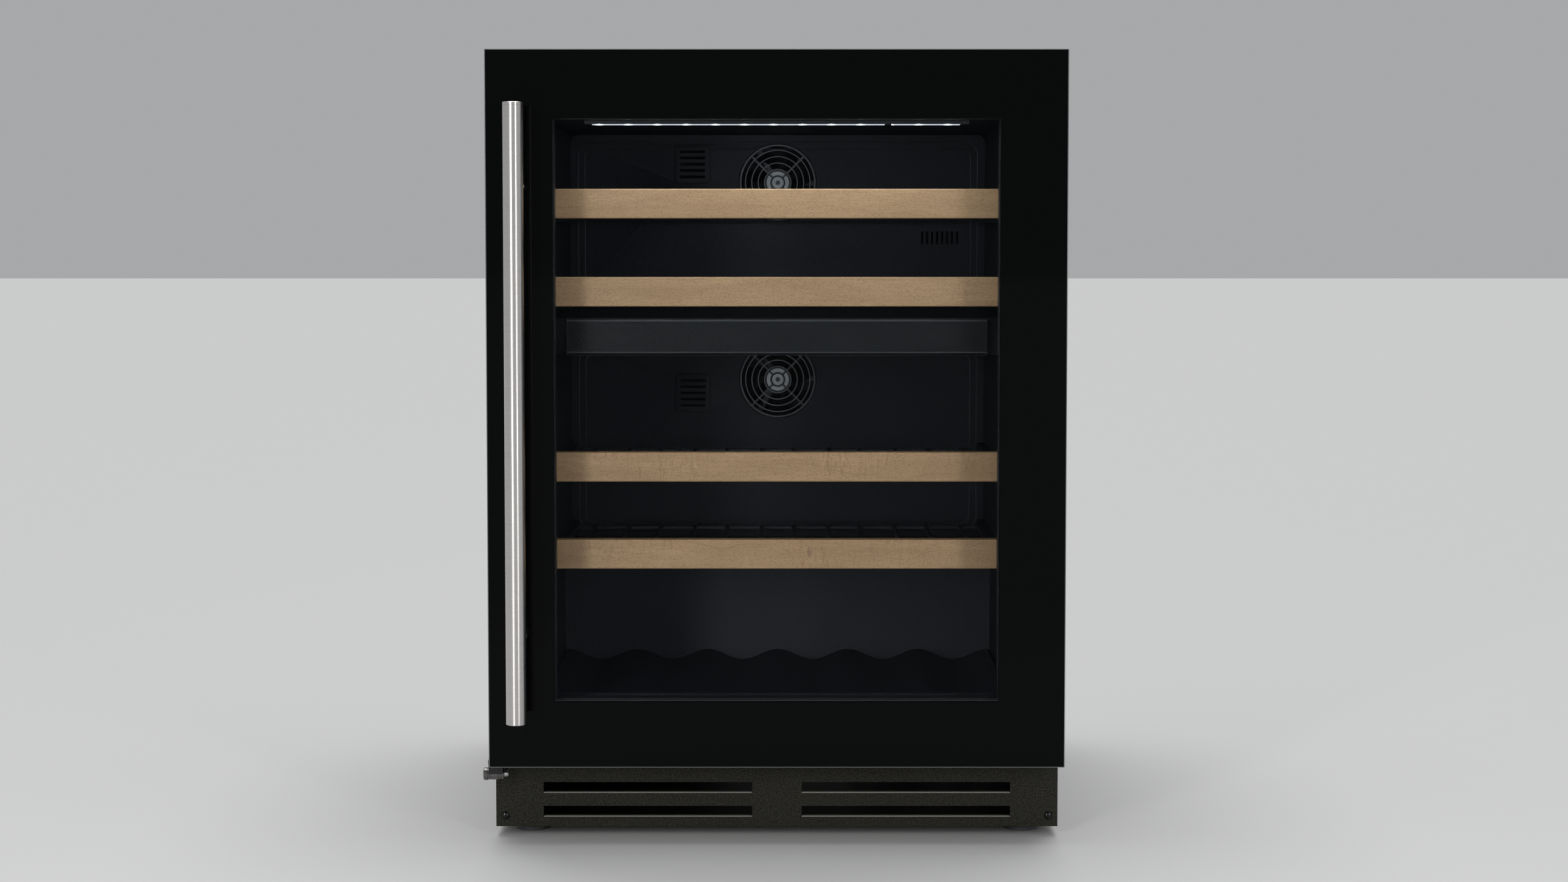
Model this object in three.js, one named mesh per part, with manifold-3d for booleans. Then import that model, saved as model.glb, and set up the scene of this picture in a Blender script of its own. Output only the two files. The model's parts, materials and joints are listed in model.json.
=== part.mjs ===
// An under-counter wine cooler with two temperature zones: an insulated cabinet, a glass door hinged on
// the right, four sliding shelves, and the cooling machinery in a room at the lower rear.
//
// Millimetres. +X is the viewer's right, +Y runs from the door to the rear, and +Z is up. The origin is
// on the floor, in the middle of the cabinet's width and of the whole depth, handle included.

import * as THREE from 'three';
import { mergeVertices } from 'three/addons/utils/BufferGeometryUtils.js';
import Module from 'manifold-3d';

const wasm = await Module();
wasm.setup();

// ---- Driving dimensions --------------------------------------------------------------------------------

const seatGap = 0.3; // between pieces that touch
const slideGap = 0.8; // beside a piece that slides

// Cabinet
const cabinetWidth = 590;
const bodyDepth = 528;
const sheet = 1; // steel outer sheets
const sideWall = 46; // outer face to inner face
const roofWall = 64;
const floorWall = 42;
const rearWall = 48;
const linerWall = 2;
const plinthBottom = 10;
const basePlateBottom = 12;
const basePlateThickness = 1.5;

// Machine room at the lower rear, and the step that it makes inside
const machineRoomDepth = 150;
const machineRoomTop = 220;
const stepInsulation = 45;
const dripTrayRoom = 36.5; // from the tray's underside to the room's roof
const condenserRoom = 66.5; // from the condenser's top to the room's roof

// Door
const doorTop = 820;
const doorBottom = 81.5;
const doorOverhang = 2.5; // past the cabinet on each side
const doorDepth = 45; // glass front to cabinet front
const outerGlass = 5;
const innerGlass = 4;
const spacerDepth = 12;
const frameRear = 37; // behind the glass front
const windowBorder = 68.7; // left, right and bottom
const windowTopBorder = 70.5;
const paneLap = 12; // inner pane past the window
const frameSideInset = 2;
const frameTopInset = 6.5; // the hinge plates lie in these
const frameBottomInset = 4.8;
const gasketInner = 13; // outside the cabinet's opening
const gasketWidth = 14;

// Door hinge
const hingeInset = 12.5; // axis from the door's edge
const hingeSetback = 21.5; // axis behind the glass front
const hingePlate = 3.5;
const pinRadius = 4;
const pinClearance = 0.1;
const pinReach = 16; // into the door frame

// Handle
const handleRadius = 10.5;
const handleWall = 1.5;
const handleLength = 630;
const handleStandoff = 40; // tube axis in front of the glass
const handleInset = 33; // tube axis from the door's edge
const handleDrop = 55.6; // tube's top below the door's top
const postInset = 84; // post from the tube's end
const postRadius = 7;
const boltRadius = 4;

// Lock under the door's free corner
const lockRadius = 6;
const lockDrop = 10.8; // axis below the door's lower edge
const lockReach = 7.5; // head past the door's edge
const tongueLength = 19.5;
const tongueHalf = 3;
const tongueThickness = 2.5;

// Shelves
const fasciaSetback = 30; // behind the cabinet front
const fasciaThickness = 18;
const fasciaHeight = 31;
const fasciaSideGap = 5;
const rackHeight = 6;
const sideRail = 9;
const rodWidth = 5;
const bottlesPerShelf = 6;
const topBottleRoom = 102; // lower edge of the top shelf to the ceiling
const lowestShelfRise = 13.4; // lowest shelf above the step
const shelfCount = 5; // places, of which the middle one is the zone divider's
const dividerPlace = 2;
const dividerHeight = 39.4;
const dividerDrop = 12.2; // below the shelf above it
const ledgeThickness = 4;
const guidePlate = 2;

// Air circulation
const fanRadius = 46;
const fanHub = 14.5;
const fanDepth = 28;
const coverThickness = 2.5;
const evaporatorRoom = 55;
const upperFanDrop = 58; // fan axis below the ceiling
const lowerFanDrop = 48; // fan axis below the zone divider

// Plinth
const slotLength = 219;
const slotHeight = 11.5;
const slotInset = 50; // from the plinth's end
const slotLevels = [25.9, 51.2];
const plinthScrewInset = 9.5;
const plinthScrewLevel = 21.5;
const plinthScrewRadius = 2;

// Feet
const footRadius = 19;
const footPad = 8;
const footStem = 5;
const footSideInset = 35;
const footEndInset = 42;

// ---- Positions that follow from them ---------------------------------------------------------------------

const cabinetHalf = cabinetWidth / 2;
const innerHalf = cabinetHalf - sideWall;
const sheetHalf = cabinetHalf - sheet - seatGap; // pieces between the side panels
const doorHalf = cabinetHalf + doorOverhang;
const windowHalf = doorHalf - windowBorder;

const handleReach = handleStandoff + handleRadius;
const wholeDepth = handleReach + doorDepth + bodyDepth;
const glassFront = handleReach - wholeDepth / 2;
const bodyFront = glassFront + doorDepth;
const bodyRear = bodyFront + bodyDepth;

const frameTop = doorTop - frameTopInset;
const frameBottom = doorBottom + frameBottomInset;
const cabinetTop = frameTop + 0.5;
const boxBottom = frameBottom - 0.3;
const windowTop = doorTop - windowTopBorder;
const windowBottom = doorBottom + windowBorder;

const ceiling = cabinetTop - roofWall;
const floorLevel = boxBottom + floorWall;
const stepTop = machineRoomTop + stepInsulation;
const stepFront = bodyRear - machineRoomDepth - stepInsulation;
const deckLevel = basePlateBottom + basePlateThickness;
const roomHeight = machineRoomTop - deckLevel;
const linerRear = bodyRear - rearWall;
const coverFront = linerRear - evaporatorRoom;

const topShelf = ceiling - topBottleRoom;
const lowestShelf = stepTop + lowestShelfRise;
const shelfPitch = (topShelf - lowestShelf) / (shelfCount - 1);
const shelfLevels = Array.from({ length: shelfCount }, (_, place) => topShelf - place * shelfPitch)
  .filter((_, place) => place !== dividerPlace);
const dividerTop = shelfLevels[dividerPlace - 1] - dividerDrop;
const dividerBottom = dividerTop - dividerHeight;
const fasciaFront = bodyFront + fasciaSetback;
const fasciaHalf = innerHalf - fasciaSideGap;
const fasciaRear = fasciaFront + fasciaThickness;
const guideFace = innerHalf - seatGap - guidePlate;
const rackHalf = guideFace - slideGap;
const guideFront = fasciaRear + 2;
const guideRear = coverFront - 18;

const plinthScrewX = cabinetHalf - plinthScrewInset;

const hingeX = doorHalf - hingeInset;
const hingeY = glassFront + hingeSetback;
const topPlate = cabinetTop + seatGap;
const bottomPlate = boxBottom - seatGap - hingePlate;

const handleX = -doorHalf + handleInset;
const handleY = glassFront - handleStandoff;
const handleTop = doorTop - handleDrop;
const postLevels = [handleTop - postInset, handleTop - handleLength + postInset];

const lockY = hingeY;
const lockZ = doorBottom - lockDrop;
const lockLeft = -doorHalf - lockReach;
const barrelRight = lockLeft + 21.5;

// ---- Helpers ------------------------------------------------------------------------------------------

// A bar between two corners.
function block(x0, x1, y0, y1, z0, z1) {
  const bar = new THREE.BoxGeometry(x1 - x0, y1 - y0, z1 - z0);
  return bar.translate((x0 + x1) / 2, (y0 + y1) / 2, (z0 + z1) / 2);
}

// The same, with its two ends across the width given in either order.
function between(xA, xB, y0, y1, z0, z1) {
  return block(Math.min(xA, xB), Math.max(xA, xB), y0, y1, z0, z1);
}

// A round bar along 'x', 'y' or 'z' from one end to the other, on the origin's axis.
function rod(axis, radius, from, to, sides = 24) {
  const bar = new THREE.CylinderGeometry(radius, radius, to - from, sides);
  bar.translate(0, (from + to) / 2, 0);
  if (axis === 'x') bar.rotateZ(-Math.PI / 2);
  if (axis === 'z') bar.rotateX(Math.PI / 2);
  return bar;
}

// Each axis with the directions that an outline's two coordinates and its extrusion take.
const prismFrames = {
  x: [[0, 1, 0], [0, 0, 1], [1, 0, 0]],
  y: [[1, 0, 0], [0, 0, 1], [0, -1, 0]],
  z: [[1, 0, 0], [0, 1, 0], [0, 0, 1]],
};

function polygon(points) {
  return new THREE.Shape(points.map(([a, b]) => new THREE.Vector2(a, b)));
}

// A shape in the plane across an axis (y and z, x and z, or x and y), extruded along that axis.
function prism(axis, shape, from, to, curveSegments = 2) {
  const body = new THREE.ExtrudeGeometry(shape, { depth: to - from, bevelEnabled: false, curveSegments });
  const frame = prismFrames[axis].map((direction) => new THREE.Vector3(...direction));
  body.applyMatrix4(new THREE.Matrix4().makeBasis(...frame));
  const start = frame[2].clone().multiplyScalar(axis === 'y' ? -to : from);
  return body.translate(start.x, start.y, start.z);
}

// A rectangle with round corners, for prism.
function roundedRectangle(a0, a1, b0, b1, radius) {
  const shape = new THREE.Shape();
  shape.absarc(a1 - radius, b0 + radius, radius, -Math.PI / 2, 0);
  shape.absarc(a1 - radius, b1 - radius, radius, 0, Math.PI / 2);
  shape.absarc(a0 + radius, b1 - radius, radius, Math.PI / 2, Math.PI);
  shape.absarc(a0 + radius, b0 + radius, radius, Math.PI, 1.5 * Math.PI);
  return shape;
}

function solid(geometry) {
  if (!(geometry instanceof THREE.BufferGeometry)) return geometry;
  const bare = geometry.clone();
  bare.deleteAttribute('normal');
  bare.deleteAttribute('uv');
  const merged = mergeVertices(bare, 1e-4);
  const vertProperties = new Float32Array(merged.attributes.position.array);
  const triVerts = new Uint32Array(merged.index.array);
  return new wasm.Manifold(new wasm.Mesh({ numProp: 3, vertProperties, triVerts }));
}

function join(...pieces) {
  return pieces.map(solid).reduce((whole, piece) => whole.add(piece));
}

function cut(base, ...tools) {
  return tools.map(solid).reduce((whole, tool) => whole.subtract(tool), solid(base));
}

function geometryOf(shape) {
  if (shape instanceof THREE.BufferGeometry) return shape;
  const mesh = shape.getMesh();
  const geometry = new THREE.BufferGeometry();
  geometry.setAttribute('position', new THREE.Float32BufferAttribute(mesh.vertProperties, 3));
  geometry.setIndex([...mesh.triVerts]);
  const faceted = geometry.toNonIndexed();
  faceted.computeVertexNormals();
  return faceted;
}

// Colour, roughness and metalness of each finish.
const finishes = {
  blackGlass: [0x060607, 0.06, 0],
  clearGlass: [0x1a2430, 0.04, 0],
  darkFrame: [0x101113, 0.4, 0.1],
  rubber: [0x0c0c0d, 0.8, 0],
  brushedSteel: [0xc4c4c4, 0.32, 1],
  chrome: [0xe2e2e2, 0.12, 1],
  zincSteel: [0xa2a6a8, 0.42, 0.9],
  blackSheet: [0x17181a, 0.5, 0.2],
  texturedSheet: [0x25261f, 0.72, 0.2],
  liner: [0x16181c, 0.45, 0],
  grainedPlastic: [0x1c1f22, 0.55, 0],
  foam: [0xd9cfa4, 0.85, 0],
  beech: [0xcba880, 0.55, 0],
  blackWire: [0x101012, 0.4, 0.3],
  lightLens: [0xf4f8ff, 0.2, 0],
  aluminium: [0xbfc2c4, 0.4, 0.9],
  greyPlastic: [0x5b5e61, 0.5, 0],
};

function piece(parent, name, shape, finish) {
  const [color, roughness, metalness] = finishes[finish];
  const material = new THREE.MeshStandardMaterial({ color, roughness, metalness });
  const mesh = new THREE.Mesh(geometryOf(shape), material);
  mesh.name = name;
  parent.add(mesh);
  return mesh;
}

function assembly(parent, x = 0, y = 0, z = 0) {
  const group = new THREE.Group();
  group.position.set(x, y, z);
  parent.add(group);
  return group;
}

// ---- Cabinet ------------------------------------------------------------------------------------------

const cooler = new THREE.Group();

// The inside of the cabinet with its step over the machine room, grown outwards on every closed side.
function cavity(grow) {
  const open = bodyFront - 1;
  const outline = [
    [open, floorLevel - grow],
    [stepFront + grow, floorLevel - grow],
    [stepFront + grow, stepTop - grow],
    [linerRear + grow, stepTop - grow],
    [linerRear + grow, ceiling + grow],
    [open, ceiling + grow],
  ];
  return prism('x', polygon(outline), -innerHalf - grow, innerHalf + grow);
}

function addCabinet(parent) {
  const panelFront = bodyFront + linerWall + seatGap;
  const innerRear = bodyRear - sheet - seatGap;
  const roofBottom = cabinetTop - sheet;

  for (const [name, side] of [['left_side_panel', -1], ['right_side_panel', 1]]) {
    const outer = side * cabinetHalf;
    const inner = side * (cabinetHalf - sheet);
    const panel = between(outer, inner, panelFront, bodyRear, basePlateBottom, cabinetTop);
    piece(parent, name, panel, 'blackSheet');
  }
  const roof = block(-sheetHalf, sheetHalf, panelFront, bodyRear, roofBottom, cabinetTop);
  piece(parent, 'top_panel', roof, 'blackSheet');
  const back = block(
    -sheetHalf, sheetHalf, bodyRear - sheet, bodyRear, machineRoomTop, roofBottom - seatGap);
  piece(parent, 'rear_panel', back, 'zincSteel');

  const shell = block(-sheetHalf, sheetHalf, panelFront, innerRear, boxBottom, roofBottom - seatGap);
  const machineRoom = block(
    -cabinetHalf, cabinetHalf, bodyRear - machineRoomDepth, bodyRear, 0, machineRoomTop);
  piece(parent, 'foam_body', cut(shell, cavity(linerWall + seatGap), machineRoom), 'foam');

  const flange = block(
    -cabinetHalf, cabinetHalf, bodyFront, bodyFront + linerWall, boxBottom, cabinetTop);
  const tub = cut(join(flange, cut(cavity(linerWall), inFrontOf(bodyFront + linerWall / 2))), cavity(0));
  piece(parent, 'inner_liner', tub, 'liner');
}

// Everything in front of a plane across Y.
function inFrontOf(y) {
  return block(-cabinetWidth, cabinetWidth, y - cabinetWidth, y, 0, doorTop * 2);
}

const footPlaces = {
  front_left: [-cabinetHalf + footSideInset, bodyFront + footEndInset],
  front_right: [cabinetHalf - footSideInset, bodyFront + footEndInset],
  rear_left: [-cabinetHalf + footSideInset, bodyRear - footEndInset],
  rear_right: [cabinetHalf - footSideInset, bodyRear - footEndInset],
};

function addBase(parent) {
  const front = bodyFront + linerWall + seatGap;
  const rear = bodyRear - sheet - seatGap;
  const plate = block(-sheetHalf, sheetHalf, front, rear, basePlateBottom, deckLevel);
  const tabs = [-1, 1].map((side) => {
    const outer = side * sheetHalf;
    const inner = side * (sheetHalf - 22);
    return between(outer, inner, front, front + 1.5, basePlateBottom, 40);
  });
  const stemHoles = Object.values(footPlaces).map(([x, y]) =>
    rod('z', footStem + 2 * seatGap, 0, deckLevel + 5, 12).translate(x, y, 0));
  const screwHoles = plinthScrewHoles(front);
  piece(parent, 'base_plate', cut(join(plate, ...tabs), ...stemHoles, ...screwHoles), 'zincSteel');

  for (const [corner, [x, y]] of Object.entries(footPlaces)) {
    const foot = assembly(parent, x, y);
    const pad = new THREE.CylinderGeometry(footRadius - 3, footRadius, footPad, 16)
      .rotateX(Math.PI / 2).translate(0, 0, footPad / 2);
    piece(foot, `foot_${corner}`, join(pad, rod('z', footStem, footPad - 1, 72, 12)), 'greyPlastic');
  }
}

function addPlinth(parent) {
  const top = doorBottom - 4.5;
  const thickness = 1.5;
  const plate = block(-cabinetHalf, cabinetHalf, bodyFront, bodyFront + thickness, plinthBottom, top);
  const lip = block(
    -cabinetHalf, cabinetHalf, bodyFront, bodyFront + 9, plinthBottom, basePlateBottom - seatGap);
  const slots = slotLevels.flatMap((level) => [-1, 1].map((side) => {
    const outer = side * (cabinetHalf - slotInset);
    const inner = side * (cabinetHalf - slotInset - slotLength);
    const low = level - slotHeight / 2;
    return between(outer, inner, bodyFront - 5, bodyFront + 5, low, low + slotHeight);
  }));
  const holes = plinthScrewHoles(bodyFront);
  piece(parent, 'kickplate', cut(join(plate, lip), ...slots, ...holes), 'texturedSheet');

  for (const [name, side] of [['kickplate_screw_left', -1], ['kickplate_screw_right', 1]]) {
    const place = assembly(parent, side * plinthScrewX, bodyFront, plinthScrewLevel);
    piece(place, name, panScrew(4.3, 2.6, plinthScrewRadius, 14), 'chrome');
  }
}

// Clearance holes for the two plinth screws, through a sheet near a plane across Y.
function plinthScrewHoles(y) {
  return [-1, 1].map((side) =>
    rod('y', plinthScrewRadius + 0.4, y - 5, y + 5, 10).translate(side * plinthScrewX, 0, plinthScrewLevel));
}

// A pan-head cross screw along +Y with its head in front of y = 0.
function panScrew(headRadius, headHeight, shankRadius, length) {
  const under = -seatGap;
  const profile = [
    [0, length],
    [shankRadius, length],
    [shankRadius, under],
    [headRadius, under],
    [headRadius, under - headHeight * 0.35],
    [headRadius * 0.72, under - headHeight * 0.85],
    [0, under - headHeight],
  ].map(([radius, y]) => new THREE.Vector2(radius, y)).reverse();
  const screw = new THREE.LatheGeometry(profile, 12);
  const recess = [
    block(-0.55, 0.55, -9, under - headHeight * 0.3, -2.4, 2.4),
    block(-2.4, 2.4, -9, under - headHeight * 0.3, -0.55, 0.55),
  ];
  return cut(screw, ...recess);
}

// ---- Interior -----------------------------------------------------------------------------------------

function addZoneDivider(parent) {
  const trimHalf = windowHalf - 7.3;
  const trimRear = fasciaFront + 16;
  const slabHalf = guideFace - 0.5;
  const slab = block(-slabHalf, slabHalf, trimRear + seatGap, coverFront - 2, dividerBottom, dividerTop);
  piece(parent, 'zone_divider', slab, 'grainedPlastic');
  const profile = [
    [trimRear, dividerBottom],
    [trimRear, dividerTop],
    [fasciaFront + 2.5, dividerTop],
    [fasciaFront, dividerTop - 2.5],
    [fasciaFront, dividerBottom + 3],
    [fasciaFront + 3, dividerBottom],
  ].reverse();
  piece(parent, 'divider_front', prism('x', polygon(profile), -trimHalf, trimHalf), 'grainedPlastic');
}

function addLightBar(parent) {
  const front = bodyFront + 10;
  const top = ceiling - seatGap;
  const reach = innerHalf - 57;
  const shortLens = 71;
  const split = reach - 1.5 - shortLens;
  const lenses = [
    ['led_lens_left', -reach, split - 7.3],
    ['led_lens_right', split, reach - 1.5],
  ];
  const bar = block(-reach - 8, reach + 8, front, front + 16, top - 4, top);
  const grooves = lenses.map(([, from, to]) =>
    block(from - seatGap, to + seatGap, front + 1.5, front + 9.5, top - 9, top - 1.2));
  piece(parent, 'led_bar', cut(bar, ...grooves), 'darkFrame');
  for (const [name, from, to] of lenses) {
    const lens = block(
      from, to, front + 1.5 + seatGap, front + 9.5 - seatGap, top - 4.8, top - 1.2 - seatGap);
    piece(parent, name, lens, 'lightLens');
  }
}

// Slots through a rear cover: a row of narrow openings, centred on a point.
function slotRow(count, pitch, width, height, x, z, upright) {
  return Array.from({ length: count }, (_, n) => {
    const step = (n - (count - 1) / 2) * pitch;
    const cx = upright ? x + step : x;
    const cz = upright ? z : z + step;
    return block(
      cx - width / 2, cx + width / 2, coverFront - 5, coverFront + 5, cz - height / 2, cz + height / 2);
  });
}

function addRearCover(parent, zone, bottom, top, fanLevel, sensorLevel, extraSlots) {
  const half = innerHalf - 1;
  const sensorX = -102;
  const panel = prism(
    'y', roundedRectangle(-half, half, bottom, top, 10), coverFront, coverFront + coverThickness);
  const sensorPad = prism('y',
    roundedRectangle(sensorX - 21, sensorX + 21, sensorLevel - 23, sensorLevel + 23, 6),
    coverFront - 1.2, coverFront + 1);
  const fanHole = rod('y', fanRadius + 2 * seatGap, coverFront - 5, coverFront + 5, 28);
  const cover = cut(join(panel, sensorPad), fanHole.translate(0, 0, fanLevel),
    ...slotRow(5, 7.5, 30, 3, sensorX, sensorLevel, false), ...extraSlots);
  piece(parent, `rear_cover_${zone}`, cover, 'liner');

  const fan = assembly(parent, 0, coverFront, fanLevel);
  piece(fan, `fan_frame_${zone}`, ringedFanFrame(), 'grainedPlastic');
  piece(fan, `circulation_fan_${zone}`, impeller(fanRadius - 4.5, fanHub, 5, 20, 5), 'darkFrame');
}

function ring(outer, inner, from, to, sides) {
  return cut(rod('y', outer, from, to, sides), rod('y', inner, from - 1, to + 1, sides));
}

// The round frame of a circulation fan: a shroud with a grille of rings in front and the motor behind.
function ringedFanFrame() {
  const grilleRear = 1.6;
  const rings = [0.8, 0.58].map((share) => {
    const radius = fanRadius * share;
    return ring(radius, radius - 1.6, 0, grilleRear, 20);
  });
  const spokes = [45, 135].map((angle) =>
    turned(block(-fanRadius + 1, fanRadius - 1, 0, grilleRear, -1.2, 1.2), angle));
  const shroud = ring(fanRadius, fanRadius - 2, -1, fanDepth, 28);
  const cap = rod('y', fanHub, -0.6, grilleRear, 16);
  return join(shroud, cap, ...rings, ...spokes, motor(fanHub - 1, fanRadius - 1, 20.6));
}

// A shape turned about the Y axis, in degrees.
function turned(geometry, angle) {
  return geometry.rotateY(THREE.MathUtils.degToRad(angle));
}

// A fan motor held by three struts, with a spindle that points forwards into the impeller.
function motor(hubRadius, reach, front) {
  const struts = [0, 120, 240].map((angle) =>
    turned(block(0, reach, front + 3, front + 6, -3, 3), angle));
  const spindle = rod('y', 2, front - 14, front + 1, 16);
  return join(rod('y', hubRadius, front, front + 9, 16), spindle, ...struts);
}

// A hub with pitched blades that turns on a spindle along Y.
function impeller(radius, hubRadius, front, rear, bladeCount) {
  const middle = (front + rear) / 2;
  const chord = (rear - front) * 1.15;
  const blades = Array.from({ length: bladeCount }, (_, n) => {
    const blade = new THREE.BoxGeometry(radius - hubRadius + 3, chord, 1.4);
    blade.rotateX(THREE.MathUtils.degToRad(38));
    blade.translate((radius + hubRadius - 3) / 2, middle, 0);
    return turned(blade, (n / bladeCount) * 360);
  });
  const bore = rod('y', 2 + pinClearance, middle - 6.5, rear + 1, 16);
  return cut(join(rod('y', hubRadius, front, rear, 16), ...blades), bore);
}

function addInterior(parent) {
  const ventX = innerHalf - 55;
  const ventLevel = shelfLevels[0] - 22;
  addRearCover(parent, 'upper', dividerTop + 1, ceiling - 1, ceiling - upperFanDrop, ceiling - 36,
    slotRow(8, 6, 2.4, 15, ventX, ventLevel, true));
  addRearCover(parent, 'lower', stepTop + 1, dividerBottom - 1, dividerBottom - lowerFanDrop,
    dividerBottom - lowerFanDrop - 16, []);
  addZoneDivider(parent);
  addLightBar(parent);
  addGuideColumns(parent);
  addBottleTray(parent);

  const depth = linerRear - 14;
  const coil = serpentine(2 * innerHalf - 160, 5, (ceiling - stepTop - 130) / 4, 4);
  const sheetBottom = stepTop + 35;
  const plate = block(-innerHalf + 60, innerHalf - 60, 1.5, 3, sheetBottom, ceiling - 40);
  const coilPlace = new THREE.Matrix4().makeTranslation(0, 0, (sheetBottom + ceiling - 40) / 2);
  const evaporator = join(plate, coil.transform(coilPlace.elements));
  piece(assembly(parent, 0, depth), 'evaporator', evaporator, 'aluminium');
}

// The side mouldings whose ledges carry the racks and the divider.
function addGuideColumns(parent) {
  const bottom = shelfLevels.at(-1) - 10;
  const top = ceiling - 5;
  const ledgeTops = [...shelfLevels, dividerBottom].map((level) => level - seatGap);
  const keeperBottoms = shelfLevels.map((level) => level + rackHeight + slideGap);
  const ledges = [
    ...ledgeTops.map((level) => [level - ledgeThickness, level]),
    ...keeperBottoms.map((level) => [level, level + ledgeThickness]),
  ];
  for (const [name, side] of [['guide_column_left', -1], ['guide_column_right', 1]]) {
    const across = (from, to, low, high) =>
      between(side * from, side * to, guideFront, guideRear, low, high);
    const plate = across(guideFace, guideFace + guidePlate, bottom, top);
    const teeth = ledges.map(([low, high]) => across(guideFace - sideRail, guideFace + 1, low, high));
    piece(parent, name, join(plate, ...teeth), 'liner');
  }
}

// The floor support, with a trough for each bottle and a straight front lip.
function addBottleTray(parent) {
  const half = innerHalf - 3;
  const front = fasciaFront + 6;
  const bottom = floorLevel + seatGap;
  const middle = floorLevel + 11;
  const depth = 6;
  const samples = 8 * bottlesPerShelf;
  const surface = Array.from({ length: samples + 1 }, (_, n) => {
    const x = half - (n / samples) * 2 * half;
    const phase = (n / samples) * bottlesPerShelf * 2 * Math.PI;
    return [x, middle + depth * Math.cos(phase)];
  });
  const wave = prism('y', polygon([[-half, bottom], [half, bottom], ...surface]), front, stepFront - 2);
  const lip = block(-half, half, front, front + 4, bottom, middle + depth);
  piece(parent, 'bottle_tray', join(wave, lip), 'liner');
}

// ---- Machinery ----------------------------------------------------------------------------------------

// Straight tubes one above the other, joined by half-round bends at alternate ends, in the XZ plane.
function serpentine(runLength, runs, pitch, radius) {
  const lowest = (-(runs - 1) * pitch) / 2;
  const section = new THREE.Shape(
    Array.from({ length: 6 }, (_, n) => {
      const angle = (n / 6) * 2 * Math.PI;
      return new THREE.Vector2(radius * Math.cos(angle), radius * Math.sin(angle));
    }));
  const tubes = [];
  for (let run = 0; run < runs; run += 1) {
    const level = lowest + run * pitch;
    tubes.push(rod('x', radius, -runLength / 2 - 1, runLength / 2 + 1, 6).translate(0, 0, level));
    if (run === runs - 1) break;
    const side = run % 2 ? -1 : 1;
    const bend = Array.from({ length: 5 }, (_, n) => {
      const angle = -Math.PI / 2 + (n / 4) * Math.PI;
      const x = side * (runLength / 2 + (pitch / 2) * Math.cos(angle));
      return new THREE.Vector3(x, 0, level + (pitch / 2) * (1 + Math.sin(angle)));
    });
    const extrudePath = new THREE.CatmullRomCurve3(bend);
    tubes.push(new THREE.ExtrudeGeometry(section, { steps: 4, extrudePath }));
  }
  return join(...tubes);
}

function addCompressor(parent, x, y) {
  const place = assembly(parent, x, y, deckLevel);
  const trayLevel = roomHeight - dripTrayRoom;
  const crown = trayLevel - 4;
  const profile = [
    [0, 12],
    [44, 14],
    [60, 26],
    [62, 40],
    [62, 74],
    [65, 76],
    [65, 82],
    [62, 84],
    [61, crown - 41],
    [54, crown - 18],
    [34, crown - 4],
    [0, crown],
  ].map(([radius, z]) => new THREE.Vector2(radius, z));
  const can = new THREE.LatheGeometry(profile, 20).rotateX(Math.PI / 2).scale(1.2, -1, 1);
  const footPlate = block(-95, 95, -48, 48, 10.5, 14);
  const grommets = [-1, 1].flatMap((a) => [-1, 1].map((b) =>
    rod('z', 10, seatGap, 12, 8).translate(a * 82, b * 36, 0)));
  const terminalBox = block(70, 88, -18, 18, 60, 100);
  piece(place, 'compressor', join(flipped(can), footPlate, terminalBox, ...grommets), 'blackSheet');

  const tray = cut(block(-75, 75, -50, 50, trayLevel, trayLevel + 16),
    block(-73, 73, -48, 48, trayLevel + 2, trayLevel + 20));
  piece(place, 'drip_tray', tray, 'greyPlastic');
}

// The same surface with its faces turned round, after a mirroring scale.
function flipped(geometry) {
  const index = geometry.index.array;
  for (let n = 0; n < index.length; n += 3) {
    [index[n + 1], index[n + 2]] = [index[n + 2], index[n + 1]];
  }
  return geometry;
}

function addCondenser(parent, left, front) {
  const width = 170;
  const height = roomHeight - condenserRoom;
  const depth = 36;
  const place = assembly(parent, left + width / 2, front, deckLevel + seatGap);
  const finCount = 7;
  const fins = Array.from({ length: finCount }, (_, n) => {
    const x = -width / 2 + 12 + (n * (width - 24)) / (finCount - 1);
    return block(x - 0.6, x + 0.6, 0, depth, 4, height);
  });
  const coil = serpentine(width - 34, 3, height * 0.3, 4).transform(
    new THREE.Matrix4().makeTranslation(0, depth / 2, height / 2).elements);
  const rail = block(-width / 2 + 10, width / 2 - 10, 0, depth, 0, 5);
  piece(place, 'condenser', join(rail, coil, ...fins), 'blackSheet');

  const fan = assembly(place, 0, depth + 4, height / 2 - 6);
  const half = height / 2 - 10;
  const housing = cut(
    block(-half, half, 0, fanDepth, -half, half), rod('y', half - 4, -1, fanDepth + 1, 28));
  const foot = block(-half, half, 0, fanDepth, 6 - height / 2, 2 - half);
  piece(fan, 'condenser_fan_frame', join(housing, foot, motor(17, half - 2, 19)), 'darkFrame');
  piece(fan, 'condenser_fan', impeller(half - 7, 18, 3, 18.4, 5), 'darkFrame');
}

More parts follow.
